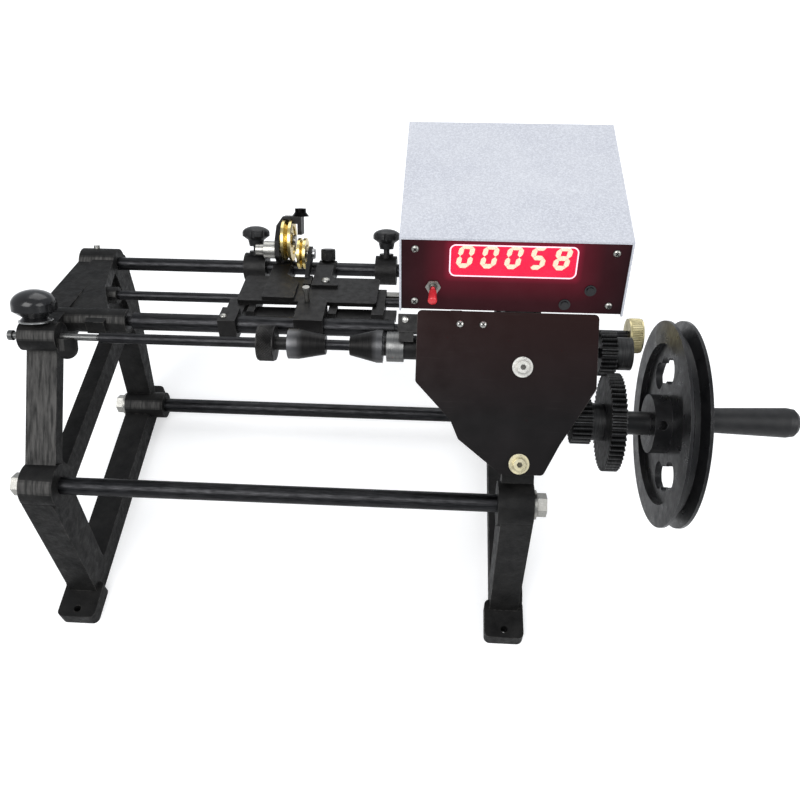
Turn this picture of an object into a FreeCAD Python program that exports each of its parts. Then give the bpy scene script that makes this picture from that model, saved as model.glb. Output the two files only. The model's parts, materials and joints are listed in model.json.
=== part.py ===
"""Hand-cranked wire coil winding machine with an electronic turn counter.

The machine stands on two cast end frames joined by tie rods. A handwheel turns a pair of
gears that drive the winding spindle. A second gear pair turns the traverse shaft, which
the wire carriage follows along its rail. A counter box stands over the headstock.

Frame: X to the right along the spindle, Y to the back, Z up, in millimetres. The origin
is on the floor, in the middle of the four foot holes.
"""
import FreeCAD
import Part
import Sketcher
import math
import os

document = FreeCAD.newDocument("coil_winder")
dim = document.addObject("Spreadsheet::Sheet", "dim")

SIZES = {
    # fits and clearances
    "bed_gap": 0.02, "run_gap": 0.05, "free_gap": 0.3, "over": 5,
    # where the shafts lie
    "spindle_y": 11.5, "spindle_z": 254, "slope": 40,
    "post_length": 134.1, "post_drop": 13.5, "rear_tie_in": 26, "rear_tie_z": 23,
    "guide_y": 90, "guide_z": 228.5, "guide_tilt": 13.9, "rail_reach": 62.3,
    "traverse_tilt": 20, "lean": 35,
    # gears
    "gear_module": 1.5, "wheel_teeth": 54, "pinion_teeth": 24, "pair_module": 1, "pair_teeth": 34,
    "pair_left": 150, "pair_width": 10, "gear_left": 282, "gear_width": 12,
    "slow_gear_left": 255, "slow_gear_width": 16, "slow_hub_radius": 16,
    "top_gear_left": 276, "top_gear_width": 13, "top_hub_radius": 14, "top_hub_right": 303,
    # end frames
    "frame_half": 213, "frame_wide": 28, "web_wide": 16, "boss_out": 17, "elbow_boss": 20,
    "post_thick": 12.5, "spindle_boss": 13, "spindle_boss_right": 262, "crank_boss": 15,
    "crank_boss_right": 250, "rail_boss": 15, "rail_boss_in": 22, "rear_boss": 15,
    "rear_boss_in": 31, "beam_up": 8, "beam_down": 14, "corner_back": 32.5, "corner_drop": 16.5,
    "knee_y": 173.5, "knee_z": 138, "toe_in": 17.5, "leg_in": 19.5, "leg_foot_thick": 33.5,
    "leg_top_thick": 12, "elbow_reach": 26.5, "shank_thick": 25, "toe_thick": 14.5,
    "post_heel": 22, "head_over": 3.5, "heel_in": 8,
    "cross_low": 122, "cross_top": 146, "base_top": 24, "gusset_y": 79, "gusset_z": 188,
    "casting_bend": 5, "foot_half": 140, "foot_hole": 3.5, "foot_top": 16, "foot_wide": 38,
    "foot_edge": 8.5, "foot_bend": 6, "foot_boss": 13.5, "foot_boss_in": 36, "foot_boss_out": 18,
    "pillar_radius": 8, "tail_boss_in": 21, "tail_boss_out": 13, "lug_radius": 9.5,
    "lug_place": 25, "lug_drop": 20,
    # shelf of the left frame, in the guide frame
    "shelf_low": -2, "shelf_thick": 12, "shelf_rear": 60, "shelf_rear_wide": 20,
    "shelf_wide": 32, "shelf_front": -42, "shelf_nose_left": 36, "shelf_nose_right": 53,
    "shelf_nose_back": -50, "shelf_nose": -64, "guide_boss": 8, "guide_boss_in": 43,
    "traverse_boss": 11, "traverse_boss_in": 70,
    # rods and their bolts
    "tie_radius": 8, "tie_bolt": 5, "tie_bolt_grip": 22, "tie_head": 10.5, "tie_head_high": 9,
    "tie_washer": 13, "tie_washer_thick": 3, "rail_radius": 6.5, "guide_radius": 4.5,
    "rod_inset": 3, "grub_radius": 3, "grub_proud": 3,
    # headstock plate, in the slope frame
    "plate_face": 25.5, "plate_thick": 3, "plate_bend": 4, "plate_left": 122, "plate_right": 271,
    "plate_top": 30.4, "plate_step_right": 152, "plate_step": -60, "plate_waist_left": 159,
    "plate_waist": -75.6, "plate_foot_left": 195, "plate_foot_right": 230, "plate_foot": -103.5,
    "plate_left_low": -29, "plate_right_low": -31, "plate_knee_right": 243, "plate_knee": -77.5,
    "bolt_top_x": -3, "bolt_top": -14.3, "bolt_foot": -94.4, "bolt_radius": 3, "bolt_head": 5,
    "bolt_head_high": 6, "bolt_grip": 12, "washer_radius": 8.5, "washer_thick": 1.6,
    # turn sensor behind the plate
    "strap_left": 106, "strap_right": 184, "strap_low": 12, "strap_high": 27, "strap_thick": 2,
    "sensor_left": 107, "sensor_wide": 12, "sensor_low": 4, "sensor_gap": 2.9,
    "small_screw": 1.5, "small_head": 3.2, "small_head_high": 2, "strap_screw_left": 157.5,
    "strap_screw_pitch": 19, "strap_screw": 19.8, "sensor_screw_left": 112, "sensor_screw": 22.4,
    # winding spindle
    "spindle_radius": 4.5, "spindle_left": -157, "spindle_right": 302,
    "centre_depth": 8, "nut_left": -15.8, "nut_length": 14.8, "nut_radius": 15,
    "nut_neck_radius": 5.8, "cone_left": 10.6, "cone_length": 32.4, "cone_radius": 13,
    "cone_land": 9, "cone_tip": 8.5, "right_cone_left": 64, "right_cone_length": 28.4,
    "right_cone_radius": 14.25, "right_cone_land": 5, "right_neck": 8, "collar_left": 96,
    "collar_length": 14.6, "collar_radius": 13, "hub_radius": 10.5, "hub_right": 124,
    # tailstock
    "pin_left": 13, "pin_radius": 3, "pin_gap": 1.9, "pin_tip": 2, "pin_tip_length": 6,
    "pin_head_radius": 4.5, "pin_head_length": 4, "knob_stem": 3, "knob_washer": 14.5,
    "knob_washer_high": 1.2, "knob_collar": 13.5, "knob_collar_high": 3.2, "knob_neck": 10.5,
    "knob_neck_high": 6, "knob_radius": 19, "knob_rim": 5.5, "knob_dome": 12.2,
    # crank shaft, handwheel and grip
    "crank_radius": 7, "crank_collar": 11, "crank_collar_length": 6, "crank_end": 5,
    "crank_angle": 123, "wheel_left": 329, "wheel_wide": 17, "wheel_radius": 87.5,
    "flange_edge": 2.5, "groove_radius": 77, "groove_floor": 4, "rim_inner": 68.5, "web_left": 5,
    "wheel_web": 6, "wheel_hub": 25, "hub_proud": 9, "wheel_neck": 10, "window_radius": 12,
    "window_place": 46, "window_sweep": 20, "set_screw_hole": 4, "handle_reach": 62,
    "handle_boss": 11, "handle_pin": 4, "pin_flange": 6.5, "pin_flange_thick": 2.5,
    "grip_left": 3, "grip_length": 67, "grip_root": 9.5, "grip_radius": 11.5, "grip_dome": 8,
    "grip_shoulder": 10.6, "grip_end": 8,
    "grip_head": 6, "grip_head_thick": 3.5, "grip_head_depth": 9,
    # traverse shaft
    "traverse_radius": 4.5, "traverse_body": 8, "traverse_shoulder": 5,
    "traverse_body_right": 100, "traverse_right": 319, "brass_left": 306, "brass_length": 12,
    "brass_radius": 15, "bush_wall": 3, "bush_length": 12,
    # carriage, in the guide frame
    "saddle_left": -49.5, "saddle_right": 81, "saddle_front": -18, "saddle_back": 28,
    "saddle_low": 5.5, "saddle_thick": 4, "saddle_bend": 3, "lug_half": 9,
    "left_lug_left": -49.5, "left_lug_wide": 18.5, "right_lug_left": 77.5, "right_lug_wide": 11.1,
    "bar_front": -31, "bar_back": -15, "bar_low": -2, "bar_thick": 3, "bar_right": 100,
    "bar_left_web": 4, "bar_right_web": 7.7, "block_wide": 17, "left_block_left": -26,
    "right_block_left": 17, "block_boss": 8.5, "arm_low": -6, "tongue_front": 8,
    "tongue_back": 48, "tongue_thick": 3, "tongue_shoulder": 12, "left_tongue_front": -16,
    "left_tongue_flare": 13, "right_tongue_flare": 8, "tongue_screw_y": 17, "tongue_screw": 4.2,
    "tongue_screw_high": 2.5, "box_left": 11, "box_wide": 26, "box_front": -60,
    "box_chamfer": 8, "box_low": -9, "box_high": 16, "fork_left": -57.5, "fork_wide": 16,
    "fork_front": -60, "fork_deep": 23, "fork_low": -9, "fork_high": 13, "fork_foot_right": -38,
    "stud_radius": 2.4, "stud_high": 13, "stud_x": 19, "stud_y": -28,
    "hex_radius": 4.6, "hex_length": 14, "hex_left": 89, "hex_y": 10, "hex_z": 1,
    # wire arm and pulleys, in the lean frame
    "arm_left": -24, "arm_thick": 4, "arm_top": 52, "arm_shoulder": 43,
    "arm_corner": -17.5, "bridge_thick": 7, "arm_front": -23.5, "arm_back": 9,
    "arm_foot_wide": 7.5, "arm_foot_half": 10, "arm_foot_low": 6.5, "arm_foot_high": 12,
    "bridge_front": -13, "bridge_back": 3, "arm_right": 1, "right_leg_low": 34.5,
    "cap_x": -1, "cap_y": -5,
    "cap_flange": 8.5, "cap_head": 5.5, "cap_cone_high": 4, "cap_head_high": 3.5,
    "big_pulley_left": -17, "big_pulley_wide": 9.5, "big_pulley_radius": 20,
    "big_pulley_y": -10.5, "big_pulley_z": 29, "small_pulley_left": -1, "small_pulley_wide": 8,
    "small_pulley_radius": 15, "small_pulley_y": -17, "small_pulley_z": 17, "vee_depth": 3.5,
    "pulley_edge": 2.6, "pulley_hub": 7, "pulley_dish": 1.2, "axle_radius": 3, "axle_head": 5,
    "axle_head_thick": 2.5, "bracket_left": 9, "bracket_thick": 3.5, "bracket_foot_front": 10,
    "bracket_foot_back": 26, "bracket_foot_wide": 7, "bracket_foot_thick": 3,
    "bracket_end": 6, "tension_y": -15, "tension_z": 19.5, "tension_shank": 2.5,
    "tension_big": 8.5, "tension_small": 5.5, "tension_left": -44, "tension_step": -35.5,
    "thumb_radius": 7, "thumb_high": 11, "thumb_stem": 2.5,
    # carriage stops on the rail
    "left_stop_left": -58.5, "left_stop_wide": 22, "right_stop_left": 74, "right_stop_wide": 21,
    "stop_radius": 14.5, "stop_boss": 7, "stop_boss_high": 16.5, "star_stem": 3, "star_neck": 6.8,
    "star_neck_low": 21.5, "star_neck_top": 8, "star_neck_high": 6, "star_flare_high": 4,
    "star_radius": 13.5, "star_rim": 3, "star_dome": 6.5, "star_notch": 1.6, "star_points": 8,
    # counter box
    "counter_x": 198, "counter_wide": 182, "counter_low": 293.5, "counter_high": 61.1,
    "counter_front": 16.5, "counter_lean": 19.5, "counter_back": 193.5, "sheet_wall": 1.6,
    "panel_thick": 2, "panel_sunk": 0.8, "base_flange": 10, "nut_thick": 2.5,
    "panel_screw_x": 78.5, "panel_screw_low": 9, "panel_screw_high": 54.5,
    "cover_screw_y": 60, "cover_screw_pitch": 90, "window_wide": 98.7, "window_high": 26,
    "window_x": -0.9, "window_y": 45.5, "window_bend": 4, "digit_count": 5, "digit_pitch": 19.1,
    "digit_wide": 18.6, "digit_high": 25, "digit_deep": 8, "digit_y": 48, "digit_back": 1,
    "display_board": 1.6, "display_board_wide": 104, "display_board_high": 30,
    "board_x": -30, "board_y": 110, "board_wide": 90, "board_deep": 60, "board_thick": 1.6,
    "spacer_radius": 3, "spacer_high": 6, "spacer_inset": 6, "chip_wide": 30, "chip_deep": 12,
    "chip_high": 4, "coil_wide": 28, "coil_deep": 24, "coil_high": 22,
    "inlet_x": 50, "inlet_z": 20, "inlet_radius": 5, "inlet_flange": 8, "inlet_deep": 14,
    "inlet_bore": 3, "inlet_bore_deep": 10,
    # switch and buttons on the panel
    "toggle_x": -63.6, "toggle_y": 22.5, "bushing_radius": 3, "bushing_bore": 2.2,
    "bushing_high": 4.5, "switch_wide": 8, "switch_high": 13, "switch_deep": 12,
    "toggle_nut": 6.35, "toggle_nut_high": 2, "lever_pivot": 3, "lever_root": 1.3,
    "lever_neck": 3, "sleeve_root": 3, "sleeve_radius": 3.7, "sleeve_length": 11,
    "lever_tilt": 13, "reset_x": 62.2, "reset_y": 22.5, "pause_x": 43.1, "pause_y": 9.5,
    "button_flange": 4.7, "button_flange_high": 1.2, "button_barrel": 4, "button_radius": 3,
    "button_deep": 9, "button_seat": 5, "button_high": 3,
    # bracket that carries the counter box
    "bracket_sheet": 4, "bracket_front": 62, "bracket_back": 132, "bracket_low": 212,
    "bracket_flange_wide": 66, "bracket_flange": 3, "bracket_bolt": 2.5, "bracket_bolt_head": 4.5,
    "bracket_bolt_high": 3, "bracket_bolt_grip": 10, "bracket_bolt_inset": 12,
}

# places that follow from the sizes: legs and rear tie from the feet, shaft body from its boss
PLACES = {
    "rear_tie_y": "=foot_half - rear_tie_in",
    "toe_y": "=foot_half - toe_in",
    "leg_front": "=leg_in - foot_half",
    "foot_boss_y": "=foot_boss_in - foot_half",
    "traverse_body_left": "=traverse_boss_in + traverse_shoulder - frame_half",
}

for row, (alias, value) in enumerate(list(SIZES.items()) + list(PLACES.items()), 1):
    dim.set("A%d" % row, alias)
    dim.set("B%d" % row, str(value))
    dim.setAlias("B%d" % row, alias)
document.recompute()

X_AXIS = FreeCAD.Vector(1, 0, 0)
Y_AXIS = FreeCAD.Vector(0, 1, 0)
Z_AXIS = FreeCAD.Vector(0, 0, 1)
BASE_PATHS = ("Placement.Base.x", "Placement.Base.y", "Placement.Base.z")
sub_parts = {}


# ---------------------------------------------------------------- places as expressions

def on_slope(along, out="0"):
    """World Y and Z of a point of the slope frame, which starts at the spindle axis."""
    y = "(dim.spindle_y + (%s) * cos(dim.slope) - (%s) * sin(dim.slope))" % (along, out)
    z = "(dim.spindle_z + (%s) * sin(dim.slope) + (%s) * cos(dim.slope))" % (along, out)
    return y, z


def in_guide(y, z):
    """Guide-frame coordinates of a world point: that frame starts at the guide rod."""
    along = "((%s - dim.guide_y) * cos(dim.guide_tilt) - (%s - dim.guide_z) * sin(dim.guide_tilt))"
    up = "((%s - dim.guide_y) * sin(dim.guide_tilt) + (%s - dim.guide_z) * cos(dim.guide_tilt))"
    return along % (y, z), up % (y, z)


def lean_in_guide(y, z):
    """Guide-frame coordinates of a point of the lean frame, which starts at the rail."""
    turn = "(dim.lean - dim.guide_tilt)"
    along = "(dim.rail_reach + (%s) * cos(%s) + (%s) * sin(%s))" % (y, turn, z, turn)
    up = "((%s) * cos(%s) - (%s) * sin(%s))" % (z, turn, y, turn)
    return along, up


GEAR_CENTRES = "(dim.gear_module * (dim.wheel_teeth + dim.pinion_teeth) / 2)"
PAIR_CENTRES = "(dim.pair_module * dim.pair_teeth)"
SPINDLE = ("dim.spindle_y", "dim.spindle_z")
CRANK = on_slope("-" + GEAR_CENTRES)
ELBOW = on_slope("-dim.post_length", "-dim.post_drop")
REAR_TIE = ("dim.rear_tie_y", "dim.rear_tie_z")
GUIDE = ("dim.guide_y", "dim.guide_z")
RAIL = ("(dim.guide_y + dim.rail_reach * cos(dim.guide_tilt))",
        "(dim.guide_z - dim.rail_reach * sin(dim.guide_tilt))")
TRAVERSE = ("(dim.spindle_y + %s * cos(dim.traverse_tilt))" % PAIR_CENTRES,
            "(dim.spindle_z - %s * sin(dim.traverse_tilt))" % PAIR_CENTRES)
TRAVERSE_IN_GUIDE = in_guide(*TRAVERSE)
HANDLE = ("(%s + dim.handle_reach * cos(dim.crank_angle))" % CRANK[0],
          "(%s + dim.handle_reach * sin(dim.crank_angle))" % CRANK[1])

# The tilted frames: a point they turn about, the turn and the sense of it about X.
SLOPE_FRAME = (SPINDLE, "dim.slope", 1)
GUIDE_FRAME = (GUIDE, "dim.guide_tilt", -1)
LEAN_FRAME = (RAIL, "dim.lean", -1)
TAIL_FRAME = (SPINDLE, "dim.lean", -1)
PANEL_TURN = "atan2(dim.counter_high; dim.counter_lean)"
PANEL_SLANT = "sqrt(dim.counter_high ^ 2 + dim.counter_lean ^ 2)"
PANEL_FRAME = (("dim.counter_front", "dim.counter_low"), PANEL_TURN, 1)


# ---------------------------------------------------------------- building blocks

def bind(item, texts):
    """Tie each named property of an object to an expression on the sheet."""
    for path, text in texts.items():
        item.setExpression(path, text)
    return item


def put(item, place, turn=None, sense=1):
    """Place an object at three expressions, turned about X by an expression."""
    if turn:
        start = FreeCAD.Rotation(FreeCAD.Vector(sense, 0, 0), 10)
        item.Placement = FreeCAD.Placement(FreeCAD.Vector(), start)
        item.setExpression("Placement.Rotation.Angle", turn)
    return bind(item, dict(zip(BASE_PATHS, place)))


def sub_part(name, item, frame=None, x="0"):
    """Name a finished piece and put its own frame into the world."""
    item.Label = name
    sub_parts[name] = item
    if frame:
        (y, z), turn, sense = frame
        put(item, (x, y, z), turn, sense)
    elif x != "0":
        item.setExpression("Placement.Base.x", x)
    return item


def block(low, size):
    """A box from its low corner, three expressions, and its three sizes."""
    item = document.addObject("Part::Box", "Block")
    bind(item, dict(zip(BASE_PATHS, low)))
    return bind(item, dict(zip(("Length", "Width", "Height"), size)))


def rod(radius, low, reach, centre=("0", "0")):
    """A cylinder along X, from x = low, round a (y, z) centre."""
    item = document.addObject("Part::Cylinder", "Rod")
    item.Placement = FreeCAD.Placement(FreeCAD.Vector(), FreeCAD.Rotation(Y_AXIS, 90))
    bind(item, {"Radius": radius, "Height": reach})
    return bind(item, dict(zip(BASE_PATHS, (low,) + tuple(centre))))


def post(radius, low, reach, x="0", y="0"):
    """A cylinder along Z, from z = low."""
    item = document.addObject("Part::Cylinder", "Post")
    bind(item, {"Radius": radius, "Height": reach})
    return bind(item, dict(zip(BASE_PATHS, (x, y, low))))


def taper(radius, top_radius, low, reach, x="0", y="0"):
    """A cone along Z, from one radius at z = low to another at its top."""
    item = document.addObject("Part::Cone", "Taper")
    bind(item, {"Radius1": radius, "Radius2": top_radius, "Height": reach})
    return bind(item, dict(zip(BASE_PATHS, (x, y, low))))


def spoke(radius, low, reach, x, centre, turn, sense):
    """A cylinder in the YZ plane, from low to low + reach along a turned Z axis."""
    item = post(radius, "0", reach)
    y = "%s - %d * (%s) * sin(%s)" % (centre[0], sense, low, turn)
    z = "%s + (%s) * cos(%s)" % (centre[1], low, turn)
    return put(item, (x, y, z), turn, sense)


def hexagon(radius, low, reach, centre=("0", "0"), along_x=True):
    """A hexagonal prism along X, or along Z at an (x, y) centre."""
    item = document.addObject("Part::Prism", "Hexagon")
    item.Polygon = 6
    bind(item, {"Circumradius": radius, "Height": reach})
    if along_x:
        item.Placement = FreeCAD.Placement(FreeCAD.Vector(), FreeCAD.Rotation(Y_AXIS, 90))
        return bind(item, dict(zip(BASE_PATHS, (low,) + tuple(centre))))
    return bind(item, dict(zip(BASE_PATHS, tuple(centre) + (low,))))


def dome(radius, height, low, along_x=False, centre=("0", "0")):
    """Half an ellipsoid that stands on z = low, or points along +X from x = low."""
    item = document.addObject("Part::Ellipsoid", "Dome")
    item.Angle1 = 0
    item.Angle2 = 90
    bind(item, {"Radius1": height, "Radius2": radius, "Radius3": radius})
    if along_x:
        item.Placement = FreeCAD.Placement(FreeCAD.Vector(), FreeCAD.Rotation(Y_AXIS, 90))
        return bind(item, dict(zip(BASE_PATHS, (low,) + tuple(centre))))
    return bind(item, dict(zip(BASE_PATHS, tuple(centre) + (low,))))


def join(*items):
    """One solid made of overlapping or touching pieces."""
    fused = document.addObject("Part::MultiFuse", "Join")
    fused.Shapes = list(items)
    return fused


def group(*items):
    """Several separate solids kept as one sub-part."""
    kept = document.addObject("Part::Compound", "Group")
    kept.Links = list(items)
    return kept


def cut(base, *tools):
    """A piece with other pieces taken out of it."""
    result = document.addObject("Part::Cut", "Cut")
    result.Base = base
    result.Tool = tools[0] if len(tools) == 1 else join(*tools)
    return result


def sketch_on(body, role, low="0"):
    """An empty sketch on one of the body's own planes, moved off it by low."""
    sketch = body.newObject("Sketcher::SketchObject", "Sketch")
    plane = [face for face in body.Origin.OriginFeatures if face.Role == role][0]
    sketch.AttachmentSupport = [(plane, "")]
    sketch.MapMode = "FlatFace"
    sketch.setExpression("AttachmentOffset.Base.z", low)
    return sketch


def set_point(sketch, index, position, start, place):
    """Tie one point of a sketch to a pair of expressions."""
    for kind, at, text in zip(("DistanceX", "DistanceY"), (start.x, start.y), place):
        number = sketch.addConstraint(Sketcher.Constraint(kind, -1, 1, index, position, at))
        sketch.setExpression("Constraints[%d]" % number, text)


def draw_outline(sketch, points):
    """A closed polygon through pairs of expressions."""
    count = len(points)
    turns = [2 * math.pi * index / count for index in range(count)]
    starts = [FreeCAD.Vector(50 * math.cos(turn), 50 * math.sin(turn), 0) for turn in turns]
    for index in range(count):
        line = Part.LineSegment(starts[index], starts[(index + 1) % count])
        sketch.addGeometry(line, False)
    for index in range(count):
        following = (index + 1) % count
        sketch.addConstraint(Sketcher.Constraint("Coincident", index, 2, following, 1))
    for index, place in enumerate(points):
        set_point(sketch, index, 1, starts[index], place)


def draw_circles(sketch, circles):
    """Circles, each a centre of two expressions and a radius."""
    for index, (place, radius) in enumerate(circles):
        start = FreeCAD.Vector(10 * index + 1, 1, 0)
        sketch.addGeometry(Part.Circle(start, Z_AXIS, 1), False)
        set_point(sketch, index, 3, start, place)
        number = sketch.addConstraint(Sketcher.Constraint("Radius", index, 1))
        sketch.setExpression("Constraints[%d]" % number, radius)


def standing_edges(shape, normal):
    """Names of the straight edges that run along a direction."""
    names = []
    for number, edge in enumerate(shape.Edges, 1):
        run = edge.Vertexes[-1].Point - edge.Vertexes[0].Point
        if run.Length > 0 and run.cross(normal).Length < 1e-6 * run.Length:
            names.append("Edge%d" % number)
    return names


def plate(role, points, low, thick, bend=None, holes=()):
    """A flat piece: an outline padded from low by thick, with rounded corners and holes."""
    body = document.addObject("PartDesign::Body", "Plate")
    sketch = sketch_on(body, role, low)
    draw_outline(sketch, points)
    pad = body.newObject("PartDesign::Pad", "Pad")
    pad.Profile = sketch
    pad.setExpression("Length", thick)
    if bend:
        document.recompute()
        normal = X_AXIS if role == "YZ_Plane" else Z_AXIS
        corners = body.newObject("PartDesign::Fillet", "Corners")
        corners.Base = (pad, standing_edges(pad.Shape, normal))
        corners.setExpression("Radius", bend)
        body.Tip = corners
    if holes:
        drill = sketch_on(body, role, low)
        draw_circles(drill, holes)
        pocket = body.newObject("PartDesign::Pocket", "Holes")
        pocket.Profile = drill
        pocket.Type = "ThroughAll"
        pocket.Reversed = True
        body.Tip = pocket
    return body


def turned(points, along_x=True):
    """A turned piece: (x, radius) points about X, or (radius, z) points about Z."""
    body = document.addObject("PartDesign::Body", "Turned")
    sketch = sketch_on(body, "XY_Plane" if along_x else "XZ_Plane")
    draw_outline(sketch, points)
    revolution = body.newObject("PartDesign::Revolution", "Revolution")
    revolution.Profile = sketch
    revolution.ReferenceAxis = (sketch, ["H_Axis" if along_x else "V_Axis"])
    revolution.Angle = 360
    return body


def size(alias):
    """The number in one cell of the sheet, for shapes made by a formula."""
    return float(dim.get(alias))


def gear_shape(teeth, module, width, bore, phase):
    """A spur gear along X from x = 0, with involute teeth, one of them at the phase angle."""
    pressure = math.radians(20)
    backlash = 0.12 * module
    pitch = module * teeth / 2
    base = pitch * math.cos(pressure)
    root = pitch - 1.25 * module
    tip = pitch + module
    half_tooth = math.pi / (2 * teeth) - backlash / (2 * pitch)

    def half_angle(radius):
        slant = math.acos(min(1.0, base / radius))
        return half_tooth + math.tan(pressure) - pressure - math.tan(slant) + slant

    low = max(base, root)
    flank = [low + (tip - low) * step / 4 for step in range(5)]
    corners = []
    for tooth in range(int(teeth)):
        middle = math.radians(phase) + 2 * math.pi * tooth / teeth
        foot = [(root, -half_angle(low))] if base > root else []
        rising = foot + [(radius, -half_angle(radius)) for radius in flank]
        falling = [(radius, -turn) for radius, turn in reversed(rising)]
        for radius, turn in rising + falling:
            place = (0, radius * math.cos(middle + turn), radius * math.sin(middle + turn))
            corners.append(FreeCAD.Vector(place))
    outline = Part.makePolygon(corners + corners[:1])
    blank = Part.Face(outline).extrude(X_AXIS * width)
    return blank.cut(Part.makeCylinder(bore, width, FreeCAD.Vector(), X_AXIS))


def gear(teeth, module, width, bore, phase=0):
    """A gear as a feature of the document, at its own origin."""
    item = document.addObject("Part::Feature", "Gear")
    item.Shape = gear_shape(teeth, module, width, bore, phase)
    return item


def span(low, high):
    """The length between two expressions."""
    return "(%s) - (%s)" % (high, low)


def grown(radius, gap="dim.run_gap"):
    """A hole's radius: the pin that it takes and a named clearance."""
    return "%s + %s" % (radius, gap)


# ---------------------------------------------------------------- end frames and rods

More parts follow.
